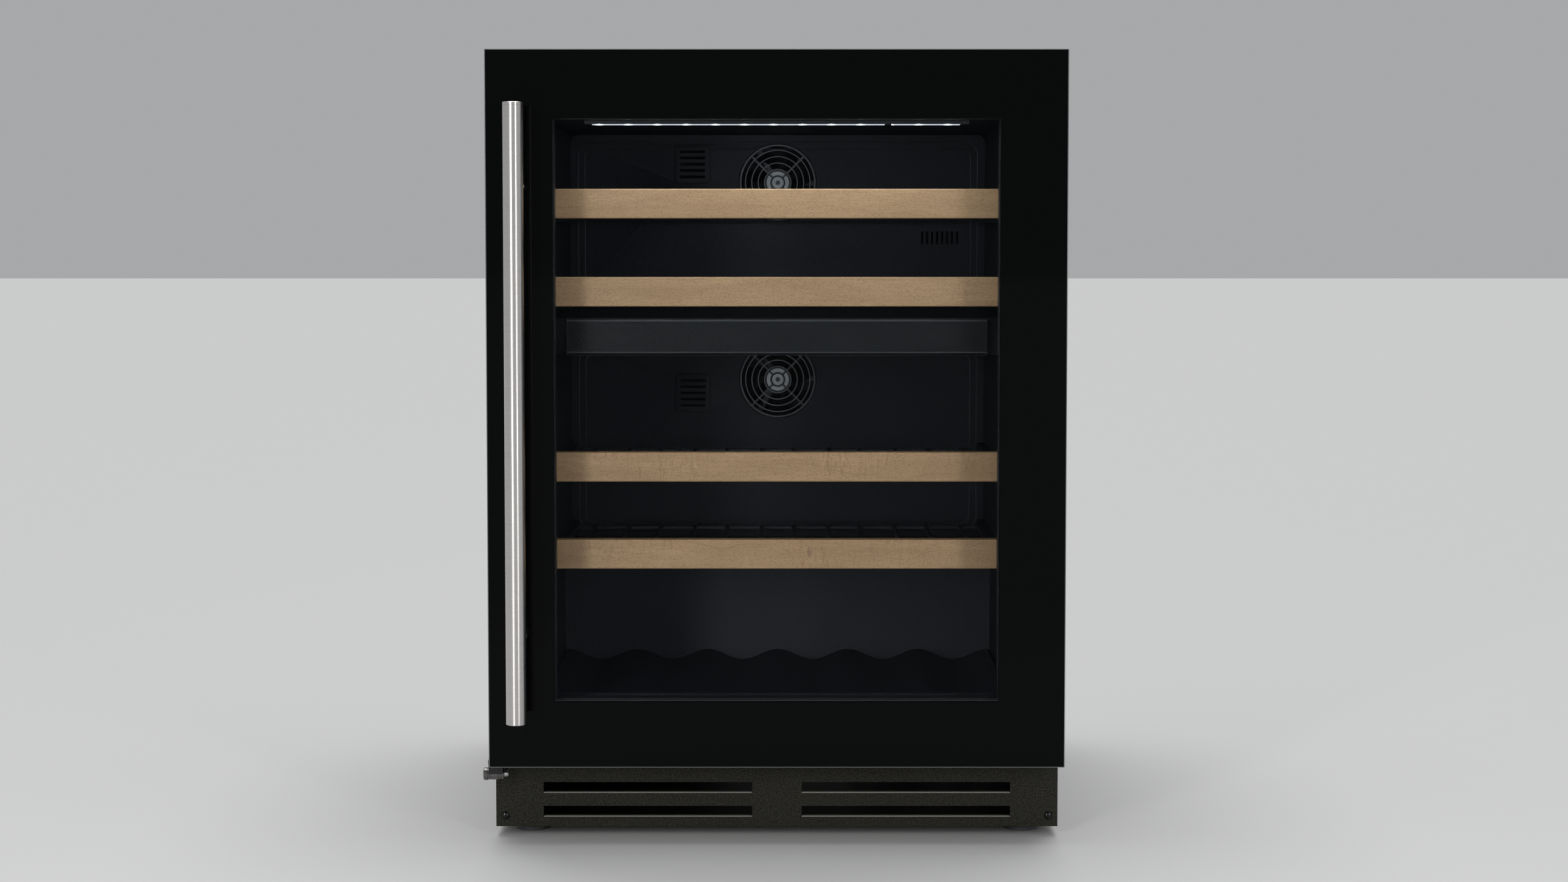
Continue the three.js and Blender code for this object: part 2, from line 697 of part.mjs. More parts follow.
function addMachineRoom(parent) {
  const roomFront = bodyRear - machineRoomDepth;
  const compressorX = -cabinetHalf + 145;
  addCompressor(parent, compressorX, roomFront + 74);
  addCondenser(parent, cabinetHalf - 220, roomFront + 10);

  const boxLeft = compressorX + 95;
  const controlBox = prism(
    'z', roundedRectangle(boxLeft, boxLeft + 90, roomFront + 30, roomFront + 130, 4),
    machineRoomTop - 42, machineRoomTop - seatGap);
  piece(parent, 'control_box', controlBox, 'greyPlastic');

  const inletX = -cabinetHalf + 40;
  const inletZ = 100;
  const inletFace = bodyRear - 0.5;
  const body = join(
    block(-13.5, 13.5, inletFace - 24, inletFace, -10, 10),
    block(-20, 20, inletFace - 4, bodyRear - sheet - seatGap, -12, 12));
  const socket = block(-11.5, 11.5, inletFace - 17, inletFace + 1, -7, 7);
  const pins = [-7, 0, 7].map((x) => block(x - 1, x + 1, inletFace - 20, inletFace - 4, -5, -1));
  piece(assembly(parent, inletX, 0, inletZ), 'power_inlet', join(cut(body, socket), ...pins), 'darkFrame');

  const top = machineRoomTop - seatGap;
  const cover = block(-sheetHalf, sheetHalf, bodyRear - sheet, bodyRear, deckLevel + seatGap, top);
  const ventCount = 14;
  const vents = Array.from({ length: ventCount }, (_, n) => {
    const x = inletX + 50 + (n * (2 * cabinetHalf - 140)) / (ventCount - 1);
    return block(x - 5, x + 5, bodyRear - 5, bodyRear + 5, 50, top - 50);
  });
  const inletHole = block(
    inletX - 13.9, inletX + 13.9, bodyRear - 5, bodyRear + 5, inletZ - 10.4, inletZ + 10.4);
  piece(parent, 'machine_cover', cut(cover, inletHole, ...vents), 'zincSteel');
}

// ---- Door ---------------------------------------------------------------------------------------------

// A rectangular ring across Y, around the window and grown by the given amounts.
function windowRing(inner, outer, from, to) {
  const frame = (grow, y0, y1) => block(
    -windowHalf - grow, windowHalf + grow, y0, y1, windowBottom - grow, windowTop + grow);
  return cut(frame(outer, from, to), frame(inner, from - 1, to + 1));
}

function addDoor(parent) {
  const glassRear = glassFront + outerGlass;
  const spacerFront = glassRear + seatGap;
  const paneFront = spacerFront + spacerDepth + seatGap;
  const paneRear = paneFront + innerGlass;
  const frameBack = glassFront + frameRear;

  const glass = prism(
    'y', roundedRectangle(-doorHalf, doorHalf, doorBottom, doorTop, 1.5), glassFront, glassRear);
  const boltHoles = postLevels.map((level) =>
    rod('y', boltRadius + 0.5, glassFront - 1, glassFront + 19, 16).translate(handleX, 0, level));
  piece(parent, 'door_glass_outer', cut(glass, ...boltHoles), 'blackGlass');

  piece(parent, 'glass_spacer', windowRing(1, paneLap - 2, spacerFront, paneFront - seatGap), 'aluminium');
  const pane = block(-windowHalf - paneLap, windowHalf + paneLap, paneFront, paneRear,
    windowBottom - paneLap, windowTop + paneLap);
  piece(parent, 'door_glass_inner', pane, 'clearGlass');

  const frameHalf = doorHalf - frameSideInset;
  const outside = block(-frameHalf, frameHalf, spacerFront, frameBack, frameBottom, frameTop);
  const pocketLap = paneLap + 1;
  const panePocket = block(-windowHalf - pocketLap, windowHalf + pocketLap, glassFront, paneRear + seatGap,
    windowBottom - pocketLap, windowTop + pocketLap);
  const opening = block(-windowHalf, windowHalf, glassFront, bodyFront, windowBottom, windowTop);
  const bores = [
    rod('z', pinRadius + pinClearance, frameTop - pinReach - 2, frameTop + 5),
    rod('z', pinRadius + pinClearance, frameBottom - 5, frameBottom + pinReach + 2),
  ].map((bore) => bore.translate(hingeX, hingeY, 0));
  const tongueSlot = block(barrelRight - 2, barrelRight + tongueThickness + 4, lockY - 4, lockY + 14,
    frameBottom - 5, lockZ + tongueLength + 2);
  const frame = cut(outside, panePocket, opening, ...bores, ...boltHoles, tongueSlot);
  piece(parent, 'door_frame', frame, 'darkFrame');

  const sealAround = (grow, y0, y1) => block(
    -innerHalf - grow, innerHalf + grow, y0, y1, floorLevel - grow, ceiling + grow);
  const sealFront = frameBack + seatGap;
  const sealRear = bodyFront - seatGap;
  const seal = cut(sealAround(gasketInner + gasketWidth, sealFront, sealRear),
    sealAround(gasketInner, sealFront - 1, sealRear + 1));
  piece(parent, 'gasket', seal, 'rubber');
}

function addHandle(parent) {
  const bottom = handleTop - handleLength;
  const bar = cut(rod('z', handleRadius, bottom, handleTop, 24),
    rod('z', handleRadius - handleWall, bottom + 3, handleTop - 3, 16),
    rod('z', 2, bottom - 1, bottom + 5, 10));
  piece(assembly(parent, handleX, handleY), 'handle_bar', bar, 'brushedSteel');

  const barSeat = rod('z', handleRadius + seatGap, -20, 20, 24).translate(0, handleY, 0);
  for (const [n, end] of ['top', 'bottom'].entries()) {
    const post = join(rod('y', postRadius, handleY, glassFront - seatGap, 20),
      rod('y', boltRadius, glassFront - 2, glassFront + 17, 16));
    const place = assembly(parent, handleX, 0, postLevels[n]);
    piece(place, `handle_post_${end}`, cut(post, barSeat), 'brushedSteel');
  }
}

// A flat plate fixed to the cabinet that reaches over the hinge axis, with its pin.
function addHinge(parent, end, level, pinTip, headLevel) {
  const outline = roundedRectangle(hingeX - 37, hingeX + 7, hingeY - 9, bodyFront + 60, 5);
  const hole = rod('z', pinRadius + seatGap, level - 5, level + 10, 16).translate(hingeX, hingeY, 0);
  const bracket = cut(prism('z', outline, level, level + hingePlate), hole);
  piece(parent, `hinge_bracket_${end}`, bracket, 'blackSheet');

  const place = assembly(parent, hingeX, hingeY);
  const headHeight = 1.4;
  const [headBottom, low, high] = headLevel > pinTip
    ? [headLevel, pinTip, headLevel + 0.1]
    : [headLevel - headHeight, headLevel - 0.1, pinTip];
  const head = rod('z', pinRadius + 2.5, headBottom, headBottom + headHeight, 20);
  piece(place, `hinge_pin_${end}`, join(rod('z', pinRadius, low, high), head), 'zincSteel');
}

function addLock(parent) {
  const tongueReach = Math.hypot(tongueLength, tongueHalf);
  const reachAtPlate = Math.sqrt(tongueReach ** 2 - (bottomPlate - lockZ) ** 2);
  const rearTab = roundedRectangle(
    -sheetHalf + 0.7, -sheetHalf + 24, lockY + reachAtPlate + slideGap, bodyFront + 25, 2);
  const frontTab = roundedRectangle(lockLeft + 5, barrelRight - 1, lockY - 8, bodyFront - 4, 3);
  const saddle = block(lockLeft + 5.5, barrelRight - 1, lockY - 7.5, lockY + 7.5, lockZ + 1, bottomPlate + 1);
  const seat = rod('x', lockRadius + seatGap, lockLeft, barrelRight + 5, 24).translate(0, lockY, lockZ);
  const bracket = cut(join(
    prism('z', rearTab, bottomPlate, bottomPlate + hingePlate),
    prism('z', frontTab, bottomPlate, bottomPlate + hingePlate), saddle), seat);
  piece(parent, 'lock_bracket', bracket, 'blackSheet');

  const place = assembly(parent, 0, lockY, lockZ);
  const barrelHead = rod('x', lockRadius + 0.6, lockLeft, lockLeft + 4.5);
  const barrelBody = rod('x', lockRadius, lockLeft + 4, barrelRight - 0.5);
  const barrel = cut(
    join(barrelHead, barrelBody), rod('x', 2.5 + pinClearance, lockLeft - 1, barrelRight + 1, 16));
  piece(place, 'lock_barrel', barrel, 'chrome');

  const spindle = rod('x', 2.5, lockLeft + 0.4, barrelRight + tongueThickness + 1.5, 16);
  const keyway = block(lockLeft - 1, lockLeft + 6, -0.5, 0.5, -1.7, 1.7);
  const tongue = prism(
    'x', roundedRectangle(-tongueHalf, tongueLength, -tongueHalf, tongueHalf, 2.5),
    barrelRight, barrelRight + tongueThickness);
  piece(place, 'lock_cam', join(cut(spindle, keyway), tongue), 'zincSteel');
}

// ---- Shelves ------------------------------------------------------------------------------------------

function addShelf(parent, number, level) {
  const shelf = assembly(parent, 0, 0, level);
  const fascia = prism('x', roundedRectangle(fasciaFront, fasciaRear, 0, fasciaHeight, 1.5),
    -fasciaHalf, fasciaHalf, 2);
  piece(shelf, `shelf_${number}_fascia`, fascia, 'beech');

  const front = fasciaRear + seatGap;
  const rear = guideRear;
  const crossBars = [0, 0.5, 1].map((share) => {
    const y = front + share * (rear - front - 8);
    return block(-rackHalf + 1, rackHalf - 1, y, y + 8, 0, rackHeight);
  });
  const rails = [-1, 1].map((side) =>
    between(side * rackHalf, side * (rackHalf - sideRail), front, rear, 0, rackHeight));
  const bottlePitch = (2 * rackHalf - 2 * sideRail) / bottlesPerShelf;
  const rods = Array.from({ length: bottlesPerShelf }, (_, n) => n - (bottlesPerShelf - 1) / 2)
    .flatMap((place) => [-0.26, 0.26].map((side) => {
      const x = (place + side) * bottlePitch;
      return block(x - rodWidth / 2, x + rodWidth / 2, front + 7, rear - 7, 1, rackHeight - 0.5);
    }));
  piece(shelf, `shelf_${number}_rack`, join(...rails, ...crossBars, ...rods), 'blackWire');
}

// ---- The whole cooler ---------------------------------------------------------------------------------

addCabinet(cooler);
addBase(cooler);
addPlinth(cooler);
addInterior(cooler);
addMachineRoom(cooler);
addDoor(cooler);
addHandle(cooler);
addHinge(cooler, 'top', topPlate, frameTop - pinReach, topPlate + hingePlate + seatGap);
addHinge(cooler, 'bottom', bottomPlate, frameBottom + pinReach, bottomPlate - seatGap);
addLock(cooler);
shelfLevels.forEach((level, n) => addShelf(cooler, n + 1, level));

export default cooler;
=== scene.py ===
# An under-counter wine cooler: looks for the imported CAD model. Metres, +Z up, the door faces -Y.

import json
import math

import bmesh
import bpy
from mathutils import Matrix, Vector


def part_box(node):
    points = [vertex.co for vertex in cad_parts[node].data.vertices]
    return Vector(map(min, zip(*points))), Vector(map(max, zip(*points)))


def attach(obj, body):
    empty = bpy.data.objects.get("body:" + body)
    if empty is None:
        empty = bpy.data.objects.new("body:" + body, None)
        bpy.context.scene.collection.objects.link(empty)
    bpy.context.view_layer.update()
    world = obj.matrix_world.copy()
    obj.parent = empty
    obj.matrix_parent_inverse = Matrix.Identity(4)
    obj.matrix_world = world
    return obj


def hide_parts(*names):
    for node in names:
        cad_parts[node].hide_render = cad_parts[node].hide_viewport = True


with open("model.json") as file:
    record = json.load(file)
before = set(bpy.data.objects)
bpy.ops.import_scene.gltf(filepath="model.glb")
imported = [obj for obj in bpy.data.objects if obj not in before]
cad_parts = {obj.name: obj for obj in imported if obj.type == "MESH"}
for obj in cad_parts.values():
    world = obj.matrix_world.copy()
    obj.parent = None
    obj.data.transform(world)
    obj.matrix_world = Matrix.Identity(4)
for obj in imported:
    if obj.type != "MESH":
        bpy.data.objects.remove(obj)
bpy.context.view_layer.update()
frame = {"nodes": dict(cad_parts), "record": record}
NODES = frame["nodes"]
BODY_OF = {n: b for b, ns in frame["record"]["behaviour"]["bodies"].items() for n in ns}
SLOT_OF = {s["node"]: s["material_slot"] for s in frame["record"]["subparts"]}
MM = 0.001
WARM_WHITE = (1, 0.985, 0.96)
COLD_WHITE = (0.86, 0.93, 1.0)


# ---- Camera ------------------------------------------------------------------------------------------

FOCAL_LENGTH = 60.65
SENSOR_WIDTH = 36
VERTICAL_SHIFT = -0.034
CAMERA_X = 0.0075
CAMERA_HEIGHT = 0.639
DISTANCE_TO_GLASS = 2.7
TILT_DOWN = 3.48

scene = bpy.context.scene
glass_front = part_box("door_glass_outer")[0].y
cam_data = bpy.data.cameras.new("camera")
cam_data.lens = FOCAL_LENGTH
cam_data.sensor_width = SENSOR_WIDTH
cam_data.shift_y = VERTICAL_SHIFT
camera = bpy.data.objects.new("camera", cam_data)
camera.location = (CAMERA_X, glass_front - DISTANCE_TO_GLASS, CAMERA_HEIGHT)
camera.rotation_euler = (math.radians(90 - TILT_DOWN), 0, 0)
scene.collection.objects.link(camera)
scene.camera = camera


# ---- Materials ---------------------------------------------------------------------------------------

class Shader:
    """A Principled material with helpers that add procedural nodes in object coordinates."""

    def __init__(self, name, color, roughness=0.5, metallic=0.0, **sockets):
        self.mat = bpy.data.materials.new(name)
        self.mat.use_nodes = True
        self.tree = self.mat.node_tree
        self.nodes = self.tree.nodes
        self.links = self.tree.links
        self.bsdf = self.nodes["Principled BSDF"]
        self.output = self.nodes["Material Output"]
        self.set(self.bsdf, "Base Color", (*color, 1))
        self.set(self.bsdf, "Roughness", roughness)
        self.set(self.bsdf, "Metallic", metallic)
        for socket, value in sockets.items():
            self.set(self.bsdf, socket.replace("_", " "), value)
        self.coords = self.nodes.new("ShaderNodeTexCoord").outputs["Object"]

    def set(self, node, socket, value):
        if isinstance(value, bpy.types.NodeSocket):
            self.links.new(value, node.inputs[socket])
        else:
            node.inputs[socket].default_value = value

    def add(self, kind, output=0, props=(), **inputs):
        node = self.nodes.new(kind)
        for prop, value in dict(props).items():
            setattr(node, prop, value)
        for socket, value in inputs.items():
            key = int(socket[1:]) if socket[0] == "i" and socket[1:].isdigit() else socket.replace("_", " ")
            self.set(node, key, value)
        return node.outputs[output]

    def place(self, scale, rotation=(0, 0, 0), location=(0, 0, 0)):
        return self.add("ShaderNodeMapping", Vector=self.coords, Scale=scale, Rotation=rotation,
                        Location=location)

    def noise(self, scale, stretch=(1, 1, 1), detail=3.0, roughness=0.5, distortion=0.0, at=None):
        where = at if at is not None else self.place(stretch)
        return self.add("ShaderNodeTexNoise", Vector=where, Scale=scale, Detail=detail,
                        Roughness=roughness, Distortion=distortion)

    def voronoi(self, scale, output=0, feature="F1", randomness=1.0, at=None):
        where = at if at is not None else self.place((1, 1, 1))
        return self.add("ShaderNodeTexVoronoi", output, {"feature": feature}, Vector=where, Scale=scale,
                        Randomness=randomness)

    def ramp(self, factor, *stops):
        node = self.nodes.new("ShaderNodeValToRGB")
        self.set(node, "Fac", factor)
        elements = node.color_ramp.elements
        while len(elements) < len(stops):
            elements.new(0.5)
        for element, (position, value) in zip(elements, stops):
            element.position = position
            element.color = (value, value, value, 1) if isinstance(value, (int, float)) else (*value, 1)
        return node.outputs["Color"]

    def math(self, operation, a, b=0.0):
        return self.add("ShaderNodeMath", 0, {"operation": operation}, i0=a, i1=b)

    def mix(self, factor, a, b):
        """The colour a where the factor is 0 and b where it is 1."""
        node = self.nodes.new("ShaderNodeMix")
        node.data_type = "RGBA"
        for index, value in ((0, factor), (6, a), (7, b)):
            self.set(node, index, (*value, 1) if isinstance(value, tuple) else value)
        return node.outputs[2]

    def spread(self, factor, low, high):
        """The factor, from 0 to 1, as a number from low to high."""
        return self.add("ShaderNodeMapRange", Value=factor, To_Min=low, To_Max=high)

    def axis(self, name):
        return self.add("ShaderNodeSeparateXYZ", "XYZ".index(name), Vector=self.coords)

    def bump(self, height, distance):
        return self.add("ShaderNodeBump", Distance=distance, Height=height)

    def use(self, **sockets):
        for socket, value in sockets.items():
            self.set(self.bsdf, socket.replace("_", " "), value)
        return self


def black_glass():
    s = Shader("black_glass", (0.0012, 0.0015, 0.0015), 0.04, Specular_IOR_Level=0.07)
    smudge = s.ramp(s.noise(5, detail=5), (0.45, 0.0), (0.8, 1.0))
    return s.use(Roughness=s.spread(smudge, 0.03, 0.09)).mat


def ground_rim_and_highlight():
    """The ground and polished rim of a glass sheet, paler than its face: partly ground finish, partly painted
    highlight.
    """
    s = Shader("ground_rim_and_highlight", (0.14, 0.16, 0.155), 0.3)
    grind = s.noise(900, detail=3)
    return s.use(Base_Color=s.mix(grind, (0.11, 0.125, 0.12), (0.19, 0.21, 0.205)),
                 Roughness=s.spread(grind, 0.22, 0.42)).mat


def window_glass(name, tint, index):
    """Coated see-through glass: clear with a tint, and a mirror that grows towards grazing sight."""
    s = Shader(name, (0, 0, 0))
    s.nodes.remove(s.bsdf)
    clear = s.add("ShaderNodeBsdfTransparent", Color=(*tint, 1))
    haze = s.ramp(s.noise(6, detail=5), (0.45, 0.0), (0.85, 1.0))
    mirror = s.add("ShaderNodeBsdfGlossy", Color=(0.9, 0.95, 1, 1), Roughness=s.spread(haze, 0.02, 0.06))
    share = s.add("ShaderNodeFresnel", IOR=index)
    both = s.add("ShaderNodeMixShader", Fac=share, i1=clear, i2=mirror)
    s.links.new(both, s.output.inputs["Surface"])
    return s.mat


def painted(name, color, roughness, grain, depth, specular=0.5):
    """Powder coat: an even colour over a fine orange-peel texture."""
    s = Shader(name, color, roughness, Specular_IOR_Level=specular)
    peel = s.noise(grain, detail=2, roughness=0.6)
    cloud = s.noise(3, detail=4)
    shade = s.mix(s.ramp(cloud, (0.3, 0.0), (0.75, 1.0)), color, tuple(c * 1.35 for c in color))
    rough = s.spread(cloud, roughness - 0.07, roughness + 0.07)
    return s.use(Base_Color=shade, Roughness=rough, Normal=s.bump(peel, depth)).mat


def textured_sheet():
    """Coarse wrinkle coat with pale peaks, slightly olive."""
    s = Shader("wrinkle_coat", (0.02, 0.02, 0.016), 0.62, Specular_IOR_Level=0.22)
    grain = s.noise(620, detail=4, roughness=0.75)
    peaks = s.ramp(grain, (0.42, 0.0), (0.66, 1.0))
    cloud = s.ramp(s.noise(14, detail=4), (0.35, 0.0), (0.7, 1.0))
    dark = s.mix(cloud, (0.0045, 0.0042, 0.0022), (0.0075, 0.0072, 0.0042))
    shade = s.mix(peaks, dark, (0.036, 0.035, 0.025))
    return s.use(Base_Color=shade, Roughness=s.spread(peaks, 0.7, 0.45), Normal=s.bump(grain, 0.0005)).mat


def leather_plastic(name, color, scale, depth, roughness=0.5, specular=0.5):
    """Moulded plastic with a leather grain."""
    s = Shader(name, color, roughness, Specular_IOR_Level=specular)
    cells = s.voronoi(scale, feature="SMOOTH_F1")
    fine = s.noise(scale * 2.2, detail=2)
    height = s.mix(0.45, cells, fine)
    shade = s.mix(s.ramp(height, (0.3, 0.0), (0.6, 1.0)), tuple(c * 0.5 for c in color),
                  tuple(c * 1.7 for c in color))
    rough = s.spread(fine, roughness - 0.06, roughness + 0.08)
    return s.use(Base_Color=shade, Roughness=rough, Normal=s.bump(height, depth)).mat


def moulded(name, color, roughness=0.45, specular=0.5):
    """Smooth moulded plastic with a faint flow pattern."""
    s = Shader(name, color, roughness, Specular_IOR_Level=specular)
    flow = s.noise(9, stretch=(1, 1, 0.5), detail=4, distortion=0.6)
    fine = s.noise(900, detail=2)
    shade = s.mix(flow, tuple(c * 0.88 for c in color), tuple(c * 1.12 for c in color))
    return s.use(Base_Color=shade, Roughness=s.spread(flow, roughness - 0.05, roughness + 0.06),
                 Normal=s.bump(fine, 0.00006)).mat


def rubber():
    s = Shader("rubber", (0.012, 0.012, 0.013), 0.62, Specular_IOR_Level=0.35)
    dust = s.ramp(s.noise(30, detail=6, roughness=0.7), (0.4, 0.0), (0.8, 1.0))
    shade = s.mix(dust, (0.010, 0.010, 0.011), (0.024, 0.024, 0.025))
    return s.use(Base_Color=shade, Normal=s.bump(s.noise(1400, detail=2), 0.00005)).mat


def brushed_tube():
    """Stainless steel, brushed round the tube: fine streaks across its length."""
    s = Shader("brushed_tube", (0.6, 0.585, 0.57), 0.3, 1.0, Anisotropic=0.85, Anisotropic_Rotation=0.25)
    streak = s.noise(1.0, detail=3, roughness=0.6, at=s.place((60, 60, 2600)))
    broad = s.noise(1.0, detail=3, at=s.place((25, 25, 240)))
    shade = s.mix(streak, (0.5, 0.485, 0.47), (0.72, 0.7, 0.685))
    tangent = s.add("ShaderNodeTangent", 0, {"direction_type": "RADIAL", "axis": "Z"})
    return s.use(Base_Color=shade, Roughness=s.spread(broad, 0.25, 0.36), Tangent=tangent,
                 Normal=s.bump(streak, 0.000004)).mat


def chrome(name, color=(0.6, 0.6, 0.61)):
    s = Shader(name, color, 0.1, 1.0)
    wear = s.ramp(s.noise(70, detail=6), (0.45, 0.0), (0.7, 1.0))
    return s.use(Roughness=s.spread(wear, 0.07, 0.22)).mat


def zinc():
    """Galvanised sheet with crystals of different greys."""
    s = Shader("zinc", (0.4, 0.42, 0.43), 0.42, 0.9)
    spangle = s.voronoi(75, output=1)
    grey = s.ramp(spangle, (0.2, (0.345, 0.36, 0.37)), (0.8, (0.425, 0.44, 0.45)))
    cloud = s.noise(5, detail=4)
    return s.use(Base_Color=grey, Roughness=s.spread(s.ramp(spangle, (0, 0.0), (1, 1.0)), 0.34, 0.5),
                 Normal=s.bump(s.mix(0.5, cloud, s.noise(400, detail=2)), 0.00008)).mat


def cast_aluminium():
    s = Shader("aluminium", (0.6, 0.61, 0.62), 0.36, 0.95)
    lines = s.noise(1.0, detail=4, at=s.place((900, 900, 30)))
    return s.use(Base_Color=s.mix(lines, (0.5, 0.51, 0.52), (0.68, 0.69, 0.7)),
                 Roughness=s.spread(lines, 0.3, 0.44)).mat


def foam():
    s = Shader("foam", (0.6, 0.52, 0.32), 0.8)
    cells = s.voronoi(420)
    shade = s.mix(s.noise(18, detail=5), (0.5, 0.42, 0.23), (0.68, 0.6, 0.4))
    return s.use(Base_Color=shade, Normal=s.bump(cells, 0.0006)).mat


def beech(number):
    """Steamed beech, its grain along X: pores as short dark dashes, wavy figure and a few growth lines."""
    s = Shader(f"beech_{number}", (0.5, 0.38, 0.25), 0.5, Coat_Weight=0.12, Coat_Roughness=0.3)
    shift = (number * 1.7, 0.0, number * 0.9)
    figured = number > 2
    tone = s.noise(1.0, detail=4, roughness=0.6, distortion=0.5, at=s.place((9, 9, 60), location=shift))
    warp = s.noise(1.0, detail=2, at=s.place((7, 7, 7), location=shift))
    base = s.mix(s.ramp(tone, (0.3, 0.0), (0.7, 1.0)), (0.53, 0.325, 0.152), (0.68, 0.435, 0.215))
    fibre = s.noise(1.0, detail=5, roughness=0.7, at=s.place((40, 40, 1100), location=shift))
    base = s.mix(s.ramp(fibre, (0.35, 0.5), (0.7, 0.0)), base, (0.38, 0.23, 0.115))
    dash = s.voronoi(1.0, at=s.place((230, 200, 1150), location=shift), randomness=0.95)
    pores = s.ramp(dash, (0.22, 1.0), (0.36, 0.0))
    base = s.mix(s.math("MULTIPLY", pores, 0.62), base, (0.27, 0.145, 0.065))
    height = s.mix(0.5, fibre, s.math("SUBTRACT", 1.0, pores))
    if figured:
        ripple_at = s.place((380, 30, 75), location=shift, rotation=(0, math.radians(12), 0))
        ripple = s.ramp(s.noise(1.0, detail=4, distortion=1.3, at=ripple_at), (0.52, 0.0), (0.64, 1.0))
        patch = s.ramp(s.noise(1.0, detail=2, at=s.place((11, 11, 20), location=shift)),
                       (0.38, 0.0), (0.6, 1.0))
        base = s.mix(s.math("MULTIPLY", s.math("MULTIPLY", ripple, patch), 0.8), base,
                     (0.4, 0.235, 0.105))
        bent = s.math("ADD", s.math("MULTIPLY", s.axis("Z"), 260),
                      s.math("MULTIPLY", warp, 34.0))
        ring = s.math("ABSOLUTE", s.math("SINE", s.math("MULTIPLY", bent, 0.5)))
        line = s.ramp(ring, (0.0, 1.0), (0.07, 0.0))
        base = s.mix(s.math("MULTIPLY", line, 0.42), base, (0.25, 0.145, 0.075))
    if number == 4:
        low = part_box("shelf_4_fascia")[0]
        wide, deep, tall = 0.0042, 0.05, 0.0125
        knot_x, knot_height = 0.034, 0.0185
        spot = s.place((1 / wide, 1 / deep, 1 / tall),
                       location=(-knot_x / wide, -low.y / deep, -(low.z + knot_height) / tall))
        far = s.add("ShaderNodeVectorMath", 1, {"operation": "LENGTH"}, i0=spot)
        ragged = s.math("ADD", far, s.math("MULTIPLY", s.noise(320, detail=3), 0.8))
        knot = s.ramp(ragged, (0.55, 1.0), (1.0, 0.0))
        base = s.mix(s.math("MULTIPLY", knot, 0.6), base, (0.2, 0.11, 0.06))
    return s.use(Base_Color=base, Roughness=s.spread(fibre, 0.42, 0.58),
                 Normal=s.bump(height, 0.00012)).mat


def light_lens():
    """A frosted light cover with a brighter spot over each of the diodes."""
    half_pitch = 0.0151
    brightest = 9.0
    s = Shader("light_lens", (0.85, 0.88, 0.92), 0.3, Emission_Color=(*COLD_WHITE, 1))
    along = s.math("PINGPONG", s.math("ADD", s.axis("X"), 1.0), half_pitch)
    spot = s.ramp(s.math("DIVIDE", along, half_pitch), (0.0, 1.0), (0.16, 0.28), (0.32, 0.07))
    return s.use(Emission_Strength=s.math("MULTIPLY", spot, brightest)).mat


MATERIALS = {
    "door_frame_plastic": moulded("door_frame_plastic", (0.010, 0.0105, 0.0115), 0.42),
    "gasket_rubber": rubber(),
    "spacer_aluminium": cast_aluminium(),
    "handle_steel": brushed_tube(),
    "cabinet_paint": painted("cabinet_paint", (0.007, 0.0073, 0.0078), 0.5, 900, 0.00016, 0.32),
    "zinc_sheet": zinc(),
    "bright_chrome": chrome("chrome"),
    "plinth_paint": textured_sheet(),
    "insulation_foam": foam(),
    "liner_plastic": leather_plastic("liner_plastic", (0.0045, 0.0072, 0.0115), 620, 0.0002, 0.5, 0.35),
    "grained_trim": leather_plastic("grained_trim", (0.0038, 0.0048, 0.0054), 480, 0.0006, 0.33, 0.2),
    "fan_plastic": moulded("fan_plastic", (0.022, 0.024, 0.027), 0.35, 0.7),
    "machine_plastic": moulded("machine_plastic", (0.014, 0.014, 0.015), 0.45),
    "light_lens": light_lens(),
    "rack_coating": painted("rack_coating", (0.012, 0.012, 0.013), 0.35, 700, 0.00008),
    "compressor_paint": painted("compressor_paint", (0.008, 0.008, 0.0085), 0.3, 300, 0.0001),
    "grey_plastic": moulded("grey_plastic", (0.045, 0.048, 0.052), 0.55),
    "outer_glass": black_glass(),
    "inner_glass": window_glass("inner_glass", (0.97, 0.975, 0.98), 1.05),
}
WINDOW = window_glass("window_glass", (0.93, 0.94, 0.955), 1.08)
PALE = moulded("pale_label", (0.78, 0.82, 0.81), 0.5)
# The rim's paleness is partly the ground glass and partly a painted highlight of the light it catches.
EDGE = ground_rim_and_highlight()
# Near-black fins for the evaporator: painted shade, for the dark that lies behind the fans.
SHADED_FINS = painted("fins_painted_shade", (0.006, 0.006, 0.0065), 0.55, 500, 0.00008, 0.25)
ROTOR = moulded("rotor_plastic", (0.0035, 0.0035, 0.004), 0.6, 0.12)
WIRE = moulded("grille_ring", (0.3, 0.31, 0.32), 0.35, 0.8)
# Pale paint for the plinth's slot lips: a painted highlight for the light they catch from above.
LIP_HIGHLIGHT = painted("lip_painted_highlight", (0.22, 0.215, 0.19), 0.5, 700, 0.0001)
# The raised lines are glossier than the wall, and paler: the paleness is a painted highlight.
BEAD_HIGHLIGHT = moulded("glossy_bead_painted_highlight", (0.02, 0.025, 0.03), 0.32)
TRIM_EDGE = moulded("trim_edge", (0.035, 0.038, 0.04), 0.32)
DARK_CHROME = chrome("dark_chrome", (0.15, 0.146, 0.14))
DARK_SCREW = chrome("dark_screw", (0.035, 0.035, 0.036))


# ---- Mesh building -----------------------------------------------------------------------------------

